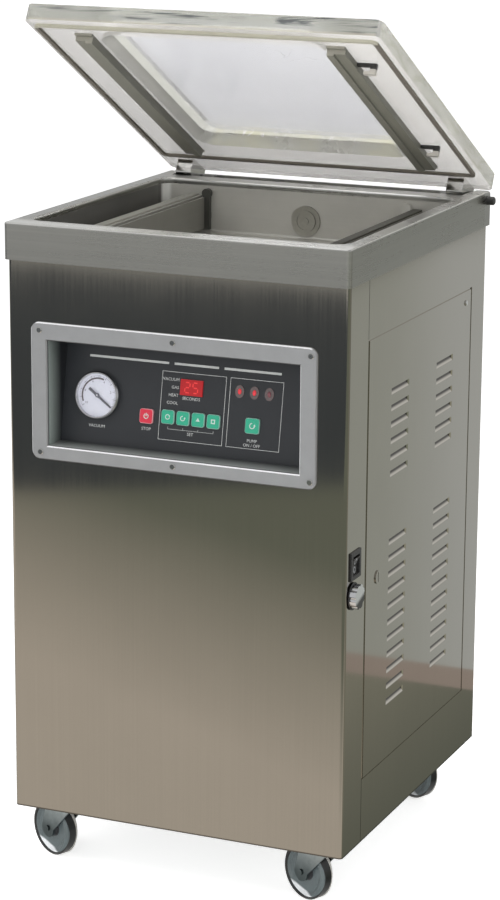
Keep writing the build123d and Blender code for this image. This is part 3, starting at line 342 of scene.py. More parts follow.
def mask_of(tree, way, low, high):
    """Mask of what faces one way."""
    return grouped(tree, "facing", {"Way": tuple(way), "Low": low, "High": high})[0]


def on_side(colour, way, cosines=BROAD, place=None):
    """Patch of colour on what faces a way, and maybe only past a place given as (way, start, stop)."""
    return colour, (way, *cosines), place


def past(colour, way, start, stop):
    """Patch of colour that comes in from a start to a stop along a way."""
    return colour, None, (way, start, stop)


def patched(tree, base, patches):
    """Lay patches of colour over a base."""
    for colour, side, place in patches:
        mask = mask_of(tree, *side) if side else None
        if place:
            way, start, stop = place
            there = between(tree, along_way(tree, way), start, stop)
            mask = product(tree, mask, there) if side else there
        base = blended(tree, mask, base, colour)
    return base


def dimmed(colour, share):
    """A colour times a share."""
    return [part * share for part in colour]


# ---------------------------------------------------------------- materials

def new_material(name):
    """An empty material and its node tree."""
    made = bpy.data.materials.new(name)
    made.use_nodes = True
    made.node_tree.nodes.clear()
    return made, made.node_tree


def surfaced(made, inputs, kind="ShaderNodeBsdfPrincipled"):
    """Close a material with its shader."""
    tree = made.node_tree
    add(tree, "ShaderNodeOutputMaterial", {"Surface": add(tree, kind, inputs).outputs[0]})
    return made


def brushed_metal(name, colour, roughness, lines, top_lines=None, tone=0.25, mottle=0.15, mottle_scale=7.0,
                  depth=0.000004, metallic=1.0, patches=()):
    """Metal with brush lines. lines are counts in a metre along X, Y and Z, or one for all three.

    top_lines are those of the faces that lie flat, where they differ.
    """
    made, tree = new_material(name)
    stretch, top_stretch = ((count,) * 3 if isinstance(count, int) else count
                            for count in (lines, top_lines or lines))
    grain = grouped(tree, "grain", {
        "Stretch": stretch, "Top Stretch": top_stretch, "Tone Spread": tone, "Mottle Spread": mottle,
        "Mottle Scale": mottle_scale, "Roughness": roughness, "Roughness Spread": 0.05})
    return surfaced(made, {
        "Base Color": toned(tree, patched(tree, colour, patches), grain["Tone"]), "Metallic": metallic,
        "Roughness": grain["Roughness"], "Normal": bumped(tree, grain["Height"], depth)})


def moulded(name, colour, roughness, scale=900.0, tone=0.15, dust=0.15, depth=0.00004, coat=0.0,
            metallic=0.0, glow=None, glow_strength=0.0, patches=()):
    """Plastic, rubber or paint."""
    made, tree = new_material(name)
    skin = grouped(tree, "skin", {"Scale": scale, "Tone Spread": tone, "Dust": dust, "Roughness": roughness})
    clean = toned(tree, patched(tree, colour, patches), skin["Tone"])
    inputs = {"Base Color": blended(tree, skin["Dust"], clean, (0.45, 0.43, 0.4)),
              "Roughness": skin["Roughness"], "Metallic": metallic, "Coat Weight": coat,
              "Normal": bumped(tree, skin["Height"], depth)}
    if glow:
        inputs["Emission Color"] = toned(tree, glow, skin["Tone"])
        inputs["Emission Strength"] = glow_strength
    return surfaced(made, inputs)


def gauge_window(name):
    """Clear, lightly scratched window."""
    made, tree = new_material(name)
    scratched = product(tree, noise(tree, object_place(tree), 130.0, 6.0, 0.75), 0.12)
    return surfaced(made, {
        "Base Color": toned(tree, (1.0, 1.0, 1.0), total(tree, scratched, 0.94)),
        "Roughness": total(tree, scratched, 0.01), "IOR": ACRYLIC_IOR, "Transmission Weight": 1.0})


def thick_acrylic(name, across, along, out, ceiling):
    """Thick formed acrylic: pale hazy window, greyer slopes, cream rim, and sawn edges that show swirls.

    across, along and out are the sheet's own ways: from side to side, from back to front, and off its top.
    ceiling is how far out the window lies.
    """
    made, tree = new_material(name)
    aside, ahead, outward = (along_way(tree, way) for way in (across, along, out))
    own = add(tree, "ShaderNodeCombineXYZ", {0: aside, 1: ahead, 2: outward}).outputs[0]
    haze = noise(tree, own, 7.0, 4.0, distortion=1.5)
    scratch = noise(tree, own, 130.0, 6.0, 0.75)

    flat = maths(tree, "MAXIMUM", mask_of(tree, -out, 0.9, 0.97), mask_of(tree, out, 0.9, 0.97))
    raised = maths(tree, "GREATER_THAN", outward, ceiling)
    base = blended(tree, flat, (0.74, 0.74, 0.69), (0.88, 0.85, 0.80))
    left_rim = product(tree, flat, between(tree, aside, -0.12, -0.19))
    base = blended(tree, left_rim, base, (0.62, 0.60, 0.57))
    base = blended(tree, product(tree, flat, raised), base, (0.90, 0.90, 0.93))

    aged = blended(tree, between(tree, haze, 0.4, 0.6), (0.74, 0.73, 0.66), (0.78, 0.76, 0.60))
    base = blended(tree, mask_of(tree, along * 0.64 - out * 0.77, 0.93, 0.985), base, aged)

    strokes = maths(tree, "SUBTRACT", noise(tree, own, 14.0, distortion=2.5), 0.5)
    rubbed = between(tree, noise(tree, own, 5.0), 0.5, 0.6)
    thin = maths(tree, "LESS_THAN", maths(tree, "ABSOLUTE", strokes), 0.008)
    scuffs = product(tree, thin, rubbed, raised)
    base = blended(tree, scuffs, base, (1.0, 1.0, 1.0))

    # Each sawn edge gets its swirls at its own lightness, dark on the front edge, light on the right edge and
    # between on the left edge: painted shade and painted highlight.
    for way, stretch, dark, light in ((along, (4.0, 30.0, 75.0), (0.10, 0.11, 0.12), (0.60, 0.61, 0.55)),
                                      (across, (30.0, 12.0, 60.0), (0.84, 0.83, 0.70), (1.0, 1.0, 0.90)),
                                      (-across, (30.0, 12.0, 60.0), (0.52, 0.52, 0.50), (0.80, 0.80, 0.76))):
        swirl = noise(tree, vectors(tree, "MULTIPLY", own, stretch), 1.0, 3.0, 0.6, 2.0)
        streaks = blended(tree, between(tree, swirl, 0.39, 0.50), dark, light)
        base = blended(tree, mask_of(tree, way, *BROAD), base, streaks)
    lower_edge = product(tree, maths(tree, "SUBTRACT", 1.0, flat),
                         between(tree, outward, ceiling - 9 * MM, ceiling - 13 * MM),
                         mask_of(tree, along, *BROAD))
    base = blended(tree, lower_edge, base, (0.76, 0.72, 0.58))

    tone = total(tree, spread(tree, haze, 0.16), spread(tree, scratch, 0.08), 1.0)
    return surfaced(made, {
        "Base Color": toned(tree, base, tone), "IOR": ACRYLIC_IOR, "Transmission Weight": 0.7,
        "Roughness": total(tree, product(tree, scratch, 0.12), 0.14), "Normal": bumped(tree, haze, 0.0006)})


def tyre(name, centre, axle):
    """Caster wheel: worn grey tread, black shoulder with painted shade, smooth grey dish with a painted
    highlight crescent, and dark hub.
    """
    made, tree = new_material(name)
    zones = grouped(tree, "zones", {"Centre": centre, "Axle": axle, "Tread Radius": 0.0385,
                                    "Rim Radius": 0.0335, "Hub Radius": 0.012})
    skin = grouped(tree, "skin", {"Scale": 400.0, "Tone Spread": 0.3, "Dust": 0.1, "Roughness": 0.34})
    # A light crescent on the dish's lower rim: painted highlight.
    down = np.array([-0.35, -0.15, -0.92])
    base = patched(tree, (0.10, 0.125, 0.13),
                   [past((0.8, 0.82, 0.84), down, centre @ down + 0.026, centre @ down + 0.0285)])
    # The shoulder is black rubber, darkened to near black with painted shade.
    for zone, colour in (("Shoulder", (0.008, 0.009, 0.01)), ("Tread", (0.46, 0.45, 0.42)),
                         ("Hub", (0.04, 0.042, 0.045))):
        base = blended(tree, zones[zone], base, colour)
    dusty = blended(tree, skin["Dust"], toned(tree, base, skin["Tone"]), (0.4, 0.39, 0.36))
    return surfaced(made, {
        "Base Color": dusty, "Coat Weight": 0.2,
        "Roughness": total(tree, skin["Roughness"], product(tree, zones["Tread"], 0.25)),
        "Normal": bumped(tree, skin["Height"], 0.00004)})


def printed(name, colour, strength=0.0):
    """Screen printed ink, a little uneven in cover."""
    made, tree = new_material(name)
    cover = noise(tree, object_place(tree), 600.0, 3.0)
    ink = toned(tree, colour, total(tree, product(tree, cover, 0.24), 0.88))
    return surfaced(made, {
        "Base Color": ink, "Roughness": total(tree, product(tree, cover, 0.2), 0.4),
        "Emission Color": ink, "Emission Strength": strength})


# ---------------------------------------------------------------- shape helpers

def unit(way):
    """A way at length one."""
    way = np.asarray(way, float)
    return way / np.linalg.norm(way)


def corners_of(node):
    """The two far corners of a CAD node's box."""
    return (np.array(corner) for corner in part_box(node))


def points(node):
    """Every vertex of a CAD node, as rows."""
    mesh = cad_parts[node].data
    rows = np.zeros(len(mesh.vertices) * 3, np.float32)
    mesh.vertices.foreach_get("co", rows)
    return rows.reshape(-1, 3).astype(float)


def prism(outline, low, high):
    """Flat plate: a polygon carried straight from one height to another, both ends closed."""
    flat = np.asarray(outline, float)
    count = len(flat)
    ring = np.arange(count)
    after = np.roll(ring, -1)
    vertices = np.vstack([np.column_stack([flat, np.full(count, level)]) for level in (low, high)])
    walls = np.column_stack([ring, after, after + count, ring + count]).tolist()
    return vertices, [ring[::-1].tolist(), (ring + count).tolist()] + walls


def turned(profile, steps=48):
    """Turned shape: x = r cos t, y = r sin t, z = h, for a closed profile of radius r and height h."""
    radius, height = np.asarray(profile, float).T
    angle = np.linspace(0, 2 * pi, steps, endpoint=False)
    count = len(radius)
    vertices = np.stack([np.outer(np.cos(angle), radius), np.outer(np.sin(angle), radius),
                         np.tile(height, (steps, 1))], axis=-1).reshape(-1, 3)
    row = np.arange(steps)[:, None]
    column = np.arange(count)[None, :]
    following = (row + 1) % steps
    beside = (column + 1) % count
    faces = np.stack([row * count + column, following * count + column,
                      following * count + beside, row * count + beside], axis=-1).reshape(-1, 4)
    return vertices, faces.tolist()


def arc(radius, start, end, steps):
    """Points at one radius from a start angle to an end angle, in degrees."""
    angle = np.radians(np.linspace(start, end, steps))
    return np.column_stack([radius * np.cos(angle), radius * np.sin(angle)])


def arc_band(inner, outer, start, end, steps=40):
    """Outline of a band between two radii and two angles."""
    return np.vstack([arc(outer, start, end, steps), arc(inner, end, start, steps)])


def rectangle(x0, x1, y0, y1):
    """Outline of a rectangle."""
    return np.array([(x0, y0), (x1, y0), (x1, y1), (x0, y1)])


def stroke(a, b, width):
    """Outline of a straight bar from a to b."""
    a, b = np.asarray(a, float), np.asarray(b, float)
    along = unit(b - a)
    side = np.array([-along[1], along[0]]) * width / 2
    return np.array([a - side, b - side, b + side, a + side])


def open_frame(x0, x1, y0, y1, width):
    """Four bars of a rectangular outline."""
    return [rectangle(x0, x1, y0, y0 + width), rectangle(x0, x1, y1 - width, y1),
            rectangle(x0, x0 + width, y0 + width, y1 - width),
            rectangle(x1 - width, x1, y0 + width, y1 - width)]


def joined(shapes):
    """Several shapes as one."""
    vertices, faces, count = [], [], 0
    for shape_vertices, shape_faces in shapes:
        vertices.append(shape_vertices)
        faces += [[corner + count for corner in face] for face in shape_faces]
        count += len(shape_vertices)
    return np.vstack(vertices), faces


def moved(shape, x, y, z=0.0, turn=0.0):
    """A shape turned about its own Z and shifted."""
    vertices, faces = shape
    c, s = cos(turn), sin(turn)
    spun = vertices @ np.array([[c, s, 0], [-s, c, 0], [0, 0, 1]])
    return spun + np.array([x, y, z]), faces


def put(name, data):
    """A new object in the scene."""
    made = bpy.data.objects.new(name, data)
    bpy.context.scene.collection.objects.link(made)
    return made


def lettering(text, height, x, y, low, high, align="CENTER"):
    """Words as a solid, their middle at x and y."""
    curve = bpy.data.curves.new("letters", "FONT")
    curve.body = text
    curve.size = height / 0.73
    curve.align_x = align
    curve.align_y = "CENTER"
    curve.extrude = (high - low) / 2
    curve.resolution_u = 2
    carrier = put("letters", curve)
    bpy.context.view_layer.update()
    mesh = bpy.data.meshes.new_from_object(carrier.evaluated_get(bpy.context.evaluated_depsgraph_get()))
    vertices = np.zeros(len(mesh.vertices) * 3, np.float32)
    mesh.vertices.foreach_get("co", vertices)
    faces = [list(face.vertices) for face in mesh.polygons]
    bpy.data.objects.remove(carrier)
    bpy.data.meshes.remove(mesh)
    return vertices.reshape(-1, 3).astype(float) + np.array([x, y, (low + high) / 2]), faces


class Plane:
    """A flat place on the machine: its origin, the ways across and up it, and the way out of it."""

    def __init__(self, origin, across, up):
        self.origin = np.asarray(origin, float)
        self.across = np.asarray(across, float)
        self.up = np.asarray(up, float)
        self.out = np.cross(self.across, self.up)

    def local(self, rows):
        """Rows in the machine's frame, seen in the plane's own."""
        away = np.atleast_2d(rows) - self.origin
        return np.column_stack([away @ self.across, away @ self.up, away @ self.out])

    def world(self, rows):
        """Rows in the plane's own frame, put in the machine's."""
        return self.origin + rows @ np.array([self.across, self.up, self.out])

    def span(self, node):
        """Lowest and highest corner of a node across, up and out of the plane."""
        rows = self.local(points(node))
        return rows.min(0), rows.max(0)

    def spot(self, node):
        """Middle of a node across and up the plane, and how far its top stands out."""
        low, high = self.span(node)
        return (low[0] + high[0]) / 2, (low[1] + high[1]) / 2, high[2]

    def width(self, node):
        """How far a node reaches across the plane."""
        low, high = self.span(node)
        return high[0] - low[0]


def control_face():
    """Plane of the control face, from its lower edge under the bezel's middle."""
    low, high = corners_of("display_window")
    origin = (low + high) / 2 - np.array(FACE_ACROSS) * DISPLAY_ACROSS - np.array(FACE_UP) * DISPLAY_UP
    return Plane(origin, FACE_ACROSS, FACE_UP)


def piece(name, shape, plane, body, material, smooth=False):
    """Make one closed piece on a plane and let it ride on a body."""
    vertices, faces = shape
    mesh = bpy.data.meshes.new(name)
    mesh.from_pydata(plane.world(vertices).tolist(), [], faces)
    work = bmesh.new()
    work.from_mesh(mesh)
    bmesh.ops.remove_doubles(work, verts=work.verts, dist=1e-7)
    bmesh.ops.recalc_face_normals(work, faces=work.faces)
    for face in work.faces:
        face.smooth = smooth
    work.to_mesh(mesh)
    work.free()
    made = put(name, mesh)
    made.data.materials.append(material)
    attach(made, body)
    return made


def paint(material, *nodes):
    """Give CAD nodes their finish."""
    for node in nodes:
        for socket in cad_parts[node].material_slots:
            socket.material = material


# ---------------------------------------------------------------- finishes of the CAD nodes

class MACHINE_OT_steelwork(bpy.types.Operator):
    """Finish the cabinet, collar and chamber in brushed stainless steel"""
    bl_idname = "packer.steelwork"
    bl_label = "Steelwork"

    def execute(self, context):
        steel = context.scene.packer_steel
        lines = steel.grain_lines
        upright, level, lying = (lines, lines, 2.5), (2.5, 2.5, lines), (2.5, lines, lines)
        casing = {"colour": steel.casing_colour, "roughness": steel.casing_roughness,
                  "lines": upright, "top_lines": lying, "tone": 0.08, "mottle": 0.1}
        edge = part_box("front_sheet")[0].z
        # The sheets' lowest few millimetres are painted dark: painted shade under the cabinet's bottom edge.
        paint(brushed_metal("Casing Steel", **casing, patches=[
            past(dimmed(steel.casing_colour, 0.3), TOP, edge + 2.4 * MM, edge + 1.2 * MM)]),
            "front_sheet", "side_frame_left", "side_frame_right", "rear_panel")
        deck_front = -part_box("collar")[0].y
        # Band patches: the darker right side is painted shade; the bright deck strip along the front and the
        # light front and right top bevels are painted highlights.
        paint(brushed_metal(
            "Band Steel", steel.band_colour, 0.28, level, lying, tone=0.24, mottle=0.16, mottle_scale=12.0,
            patches=[on_side((0.37, 0.37, 0.34), RIGHT, CLOSE),
                     on_side((1.0, 1.0, 0.95), TOP, CLOSE,
                             (FRONT, deck_front - 40 * MM, deck_front - 20 * MM)),
                     on_side((1.0, 1.0, 0.96), (0, -SLANT, SLANT), BEVEL),
                     on_side((0.75, 0.75, 0.7), (SLANT, 0, SLANT), BEVEL)]), "collar")
        # The rear housing takes the band's colour dimmed to 0.8: painted shade.
        paint(brushed_metal("Rear Band Steel", dimmed(steel.band_colour, 0.8), 0.35, level, lying,
                            tone=0.16, mottle=0.1), "rear_housing")
        # Faces turned to the right (the left inner wall) are painted shade; the rounded back-left corner
        # turned forward and right is a painted highlight.
        paint(brushed_metal(
            "Chamber Steel", steel.chamber_colour, 0.3, (3, 3, lines), (3, lines, lines), tone=0.08,
            mottle=0.3, mottle_scale=14.0, metallic=0.35,
            patches=[on_side(dimmed(steel.chamber_colour, 0.3), RIGHT),
                     on_side((0.8, 0.8, 0.76), (SLANT, -SLANT, 0), CLOSE)]),
            "chamber_basin", "lift_cylinders")
        for side, way in (("right", RIGHT), ("left", LEFT)):
            node = f"louvred_panel_{side}"
            outer = (points(node) @ way).max()
            # The louvres' vanes just under the outer face are made lighter and their depths dark: painted
            # highlight and painted shade.
            paint(brushed_metal(f"Louvred Steel {side}", **casing, patches=[
                past(dimmed(steel.casing_colour, 1.7), way, outer - 0.1 * MM, outer - 0.3 * MM),
                past(dimmed(steel.casing_colour, 0.22), way, outer - 1.0 * MM, outer - 2.2 * MM)]), node)
        # Guides left of the middle are near black and those right of it take the chamber's steel colour:
        # painted shade on the left guides.
        paint(brushed_metal("Guide Steel", (0.06, 0.06, 0.052), 0.4, 100, metallic=0.3,
                            patches=[past(steel.chamber_colour, RIGHT, -0.01, 0.01)]), "bar_guides")
        paint(brushed_metal("Zinc Plate", (0.50, 0.52, 0.53), 0.34, 60, tone=0.4, mottle=0.4,
                            mottle_scale=60.0, depth=0.00001), "base_pan", "caster_plates")
        # The fork is darker towards the bottom: painted shade.
        paint(brushed_metal("Fork Zinc", (0.44, 0.50, 0.52), 0.3, 60, tone=0.4, mottle=0.6,
                            mottle_scale=80.0, depth=0.00001,
                            patches=[past((0.12, 0.145, 0.15), (0, 0, -1), -75 * MM, -40 * MM)]),
              *(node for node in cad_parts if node.startswith("caster_fork")))
        paint(brushed_metal("Chrome", (0.66, 0.66, 0.64), 0.12, 400, tone=0.08, mottle=0.2,
                            mottle_scale=40.0), "hinge_arms", "machine_screws")
        low, high = corners_of("side_knob")
        skirt = high[0] - 9 * MM
        below = (0, 0.3, -0.95)
        middle = (low + high) / 2 @ below
        # Near black on the faces turned down, the faces turned back and the lower half of the outer face:
        # painted shade; the skirt nearest the cabinet is made near black too.
        paint(brushed_metal(
            "Knob Chrome", (0.75, 0.76, 0.78), 0.16, 400, tone=0.08, mottle=0.2,
            patches=[on_side((0.03, 0.03, 0.03), below, (0.2, 0.7)),
                     on_side((0.06, 0.06, 0.06), (0, 0.95, 0.3), (0.6, 0.9)),
                     on_side((0.03, 0.03, 0.03), RIGHT, CLOSE, (below, middle, middle + 6 * MM)),
                     past((0.015, 0.015, 0.015), RIGHT, skirt + 0.2 * MM, skirt)]), "side_knob")
        paint(brushed_metal("Satin Bar", (0.40, 0.40, 0.37), 0.35, (3, 300, 300), tone=0.1, mottle=0.2,
                            mottle_scale=40.0), "hinge_shaft")
        paint(brushed_metal("Lock Face", steel.casing_colour, 0.2, level, lying), "cam_lock")
        # The face turned to the front is lighter: painted highlight.
        paint(brushed_metal("Port Cap Steel", (0.36, 0.35, 0.31), 0.3, 200, mottle=0.3,
                            patches=[on_side((0.56, 0.55, 0.5), FRONT)]), "vacuum_port_cap")
        paint(brushed_metal("Spring Wire", (0.28, 0.28, 0.27), 0.35, 90, mottle=0.3), "torsion_springs")
        paint(moulded("Gland Plastic", (0.05, 0.05, 0.05), 0.5), "cable_gland")
        return {"FINISHED"}


class MACHINE_OT_lid(bpy.types.Operator):
    """Finish the lid, its gasket and what it carries"""
    bl_idname = "packer.lid_finish"
    bl_label = "Lid"

    def execute(self, context):
        lean, rise = cos(LID_OPEN), sin(LID_OPEN)
        across, along, out = np.array([(1, 0, 0), (0, -lean, rise), (0, rise, lean)])
        gasket = points("lid_gasket")
        window = (gasket @ out).min() + LID_WINDOW
        paint(thick_acrylic("Milky Acrylic", across, along, out, window), "lid")
        front = (gasket @ along).max()
        paint(moulded("Sponge Rubber", (0.15, 0.135, 0.11), 0.75, scale=500.0, tone=0.3, depth=0.0002,
                      dust=0.0, patches=[past((0.40, 0.385, 0.31), along, front - 9 * MM, front - 7 * MM)]),
              "lid_gasket")
        # Faces turned to the right are darker (painted shade) and faces turned to the front lighter (painted
        # highlight).
        paint(moulded("Bar Coat", (0.19, 0.185, 0.15), 0.5, scale=300.0, tone=0.12, dust=0.0,
                      patches=[on_side((0.14, 0.14, 0.115), across, (0.7, 0.95)),
                               on_side((0.27, 0.26, 0.22), along, (0.7, 0.95))]),
              "upper_bars", "silicone_strips")
        # Faces turned to the right are darker: painted shade.
        paint(brushed_metal("Seal Bar Metal", (0.34, 0.33, 0.30), 0.38, (120, 3, 120), tone=0.2,
                            mottle=0.3, mottle_scale=20.0, metallic=0.3,
                            patches=[on_side((0.20, 0.195, 0.17), RIGHT)]),
              "seal_bar_left", "seal_bar_right")
        # The right bar's tape is a much darker copy of the left one's: painted shade.
        for name, colour, node in (("Heater Tape", (0.25, 0.245, 0.21), "heater_cover_left"),
                                   ("Shaded Heater Tape", (0.04, 0.038, 0.026), "heater_cover_right")):
            paint(moulded(name, colour, 0.6, scale=1400.0, tone=0.3, depth=0.00008, dust=0.1), node)
        hook_top = (points("bag_clips") @ out).max()
        paint(moulded("Black Hooks", (0.02, 0.02, 0.018), 0.4, dust=0.0,
                      patches=[past((0.42, 0.40, 0.36), out, hook_top - 7.5 * MM, hook_top - 8 * MM)]),
              "bag_clips")
        return {"FINISHED"}


class MACHINE_OT_controls(bpy.types.Operator):
    """Finish the control panel, switch, knob and lamps"""
    bl_idname = "packer.controls"
    bl_label = "Controls"

    def execute(self, context):
        # Bevels turned up and to the left are lighter (painted highlight); those turned right and down are
        # darker (painted shade).
        bevel_light_and_shade = (((0.95, 0.95, 0.97), 0, SLANT), ((0.72, 0.72, 0.74), -SLANT, 0),
                  ((0.25, 0.25, 0.25), SLANT, 0), ((0.10, 0.10, 0.10), 0, -SLANT))
        paint(moulded("Bezel Silver", (0.28, 0.285, 0.29), 0.4, scale=1500.0, tone=0.2, dust=0.0,
                      metallic=0.4, depth=0.00002,
                      patches=[on_side(colour, (x, -SLANT, z), BEVEL) for colour, x, z in bevel_light_and_shade]), "bezel")
        side, up = np.array(FACE_ACROSS), np.array(FACE_UP)
        front = -cad_box[0].y
        ledge = (FRONT, front - 45 * MM, front - 12 * MM)
        # Recess walls in front of the face: the one turned right is lighter, the one turned left darker and
        # the sill turned up lightest, as painted light and shade.
        paint(moulded("Face Plastic", (0.019, 0.021, 0.024), 0.34, scale=700.0, tone=0.2, dust=0.0,
                      depth=0.00003, patches=[on_side((0.26, 0.30, 0.28), side, place=ledge),
                                              on_side((0.12, 0.14, 0.13), -side, place=ledge),
                                              on_side((0.36, 0.38, 0.37), up, place=ledge)]), "control_box")
        paint(brushed_metal("Gauge Ring Metal", (0.6, 0.6, 0.62), 0.22, 200, tone=0.1), "gauge_case")
        paint(gauge_window("Gauge Window"), "gauge_lens")
        FINISHES["needle"] = moulded("Needle Black", (0.03, 0.03, 0.05), 0.4, dust=0.0)
        paint(FINISHES["needle"], "gauge_needle")
        out = np.cross(side, up)
        # Sides and rounded edges take a lighter, greyer copy of the key colour: painted highlight; the tops
        # keep the full colour.
        for name, rim, top, nodes in (
                ("Red Plastic", (0.62, 0.30, 0.32), (0.50, 0.02, 0.045), ["stop_button"]),
                ("Green Plastic", (0.25, 0.42, 0.36), (0.02, 0.30, 0.185),
                 [f"key_{number}" for number in range(1, 6)])):
            paint(moulded(name, rim, 0.4, dust=0.0, patches=[on_side(top, out, (0.85, 0.95))]), *nodes)
        paint(moulded("Red Window", (0.17, 0.003, 0.005), 0.3, dust=0.0, glow=(0.24, 0.006, 0.008),
                      glow_strength=1.0), "display_window")
        paint(moulded("Lamp Housing", (0.10, 0.075, 0.075), 0.25, dust=0.02, coat=0.4), "indicator_lamps")
        paint(moulded("Black Plastic", (0.018, 0.018, 0.018), 0.42, dust=0.12),
              "rocker_frame", "rocker", "shaft_caps")
        return {"FINISHED"}


class MACHINE_OT_running_gear(bpy.types.Operator):
    """Finish the wheels and what stands inside the cabinet"""
    bl_idname = "packer.running_gear"
    bl_label = "Wheels and inside"

    def execute(self, context):
        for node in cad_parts:
            if node.startswith("caster_wheel"):
                low, high = corners_of(node)
                axle = np.eye(3)[np.argmin(high - low)]
                paint(tyre(f"Wheel {node[13:].replace('_', ' ')}", (low + high) / 2, axle), node)
        paint(moulded("Pump Paint", (0.03, 0.075, 0.12), 0.5, scale=220.0, tone=0.3, dust=0.5,
                      depth=0.0002), "vacuum_pump")
        paint(moulded("Core Varnish", (0.07, 0.06, 0.05), 0.55, scale=300.0, tone=0.4), "transformer")
        paint(brushed_metal("Valve Brass", (0.55, 0.42, 0.18), 0.35, 150, (3, 160, 160)),
              "solenoid_valves")
        paint(moulded("Hose Rubber", (0.02, 0.02, 0.02), 0.6, dust=0.3), "vacuum_hose")
        paint(moulded("Board Green", (0.01, 0.09, 0.035), 0.4, dust=0.2), "control_board")
        return {"FINISHED"}


# ---------------------------------------------------------------- printed and lit details

class MACHINE_OT_dial(bpy.types.Operator):
    """Make the gauge's white dial with its marks and figures"""
    bl_idname = "packer.dial"
    bl_label = "Gauge dial"

    def execute(self, context):
        settings = context.scene.packer_dial
        face = control_face()
        x, y, top = face.spot("gauge_case")
        radius = face.width("gauge_lens") / 2
        floor = top - GAUGE_DEPTH + GAUGE_FLOOR
        card = turned([(CARD_HOLE, 0), (radius, 0), (radius, CARD_THICKNESS), (CARD_HOLE, CARD_THICKNESS)],
                      steps=72)
        piece("gauge_dial", moved(card, x, y, floor), face, "cabinet",
              moulded("Dial Card", (0.58, 0.59, 0.67), 0.5, scale=300.0, tone=0.06, dust=0.0))

        low, high = CARD_THICKNESS, CARD_THICKNESS + SYMBOL_HEIGHT
        count = settings.divisions * settings.small_marks
        step = np.degrees(settings.sweep) / count
        marks = []
        for i in range(count + 1):
            angle = radians(NEEDLE_REST + step * i)
            way = np.array([cos(angle), sin(angle)])
            inset, width = (4.4 * MM, 0.3 * MM) if i % settings.small_marks else (6.2 * MM, 0.7 * MM)
            marks.append(prism(stroke(way * (radius - inset), way * (radius - 2.2 * MM), width), low, high))
        for i in range(0, settings.divisions + 1, 2):
            angle = radians(NEEDLE_REST + step * settings.small_marks * i)
            marks.append(lettering(str(i), 3.2 * MM, cos(angle) * radius * 0.67, sin(angle) * radius * 0.67,
                                   low, high))
        piece("gauge_marks", moved(joined(marks), x, y, floor), face, "cabinet",
              printed("Dial Ink", (0.05, 0.05, 0.08)))
        # A dark arc inside the dial's edge on its upper left: painted shadow of the gauge's rim, laid on as
        # ink.
        band = prism(arc_band(radius * 0.74, radius * 0.82, 70, 205), low, high)
        piece("gauge_rim_shadow", moved(band, x, y, floor), face, "cabinet",
              printed("Dial Rim Shadow", (0.045, 0.03, 0.04)))
        blade = np.array([(-15, -2.0), (-15, 2.0), (0, 1.7), (26, 1.1), (26, -1.1), (0, -1.7)]) * MM
        over = moved(prism(blade, 0, 0.12 * MM), x, y, face.spot("gauge_needle")[2] - SUNK,
                     radians(NEEDLE_REST))
        piece("needle_paint", over, face, "gauge_needle", FINISHES["needle"])
        return {"FINISHED"}


class MACHINE_OT_panel_print(bpy.types.Operator):
    """Print the frames, rules and small words on the control face"""
    bl_idname = "packer.panel_print"
    bl_label = "Panel print"

    def execute(self, context):
        settings = context.scene.packer_panel
        face = control_face()
        width, tall = settings.line_width, settings.word_height
        low, high = -SUNK, PRINT_HEIGHT
        key_left, key_up, _ = face.spot("key_1")
        key_right = face.spot("key_4")[0]
        half_key = face.width("key_1") / 2
        big_x = face.spot("key_5")[0]
        stop_x, stop_up, _ = face.spot("stop_button")
        timer = (key_left - half_key - 3.7 * MM, key_right + half_key + 4.3 * MM)
        pump = (timer[1] + 5.6 * MM, face.span("indicator_lamps")[1][0] + 12.5 * MM)
        outlines = open_frame(*timer, *FRAME_LEVELS, width) + open_frame(*pump, *FRAME_LEVELS, width)
        for start, end in TITLE_BARS:
            outlines.append(rectangle(start * MM, end * MM, TITLE_UP - 1.5 * MM, TITLE_UP + 1.5 * MM))
        bracket_up = key_up - half_key - 6.5 * MM
        outlines.append(stroke((key_left, bracket_up), (key_right, bracket_up), width * 0.7))
        for across in np.linspace(key_left, key_right, 4):
            outlines.append(stroke((across, bracket_up), (across, bracket_up + 3 * MM), width * 0.7))
        shapes = [prism(outline, low, high) for outline in outlines]
        display_left = face.span("display_window")[0][0]
        for row, text in enumerate(("VACUUM", "GAS", "HEAT", "COOL")):
            shapes.append(lettering(text, tall, display_left - 2.5 * MM, (96.0 - 10.3 * row) * MM, low, high,
                                    "RIGHT"))
        for text, across, up in (
                ("SECONDS", DISPLAY_ACROSS, 72.5 * MM),
                ("SET", (key_left + key_right) / 2, bracket_up - 4.5 * MM),
                ("VACUUM", face.spot("gauge_case")[0], 24 * MM), ("STOP", stop_x, stop_up - 17 * MM),
                ("PUMP", big_x, 26 * MM), ("ON / OFF", big_x, 20 * MM)):
            shapes.append(lettering(text, tall, across, up, low, high))
        piece("panel_print", joined(shapes), face, "cabinet",
              printed("Panel Ink", settings.ink_colour))
        return {"FINISHED"}


def ring_symbol(size, start=0, end=350):
    """A ring, open between its end and its start."""
    return [arc_band(size * 0.55, size * 0.8, start, end)]


def up_symbol(size):
    """A solid triangle pointing up."""
    return [np.array([(-0.7, -0.45), (0.7, -0.45), (0, 0.7)]) * size]


def box_symbol(size):
    """A small open square."""
    return open_frame(-size * 0.65, size * 0.65, -size * 0.65, size * 0.65, size * 0.3)


def power_symbol(size):
    """A broken ring with an upright bar."""
    return [*ring_symbol(size, 120, 420), rectangle(-size * 0.13, size * 0.13, 0, size * 0.95)]


def turn_symbol(size):
    """Three quarters of a ring with an arrow head."""
    head = np.array([(0.35, 0), (1.0, 0), (0.675, 0.5)]) * size
    return [*ring_symbol(size, 90, 360), head]


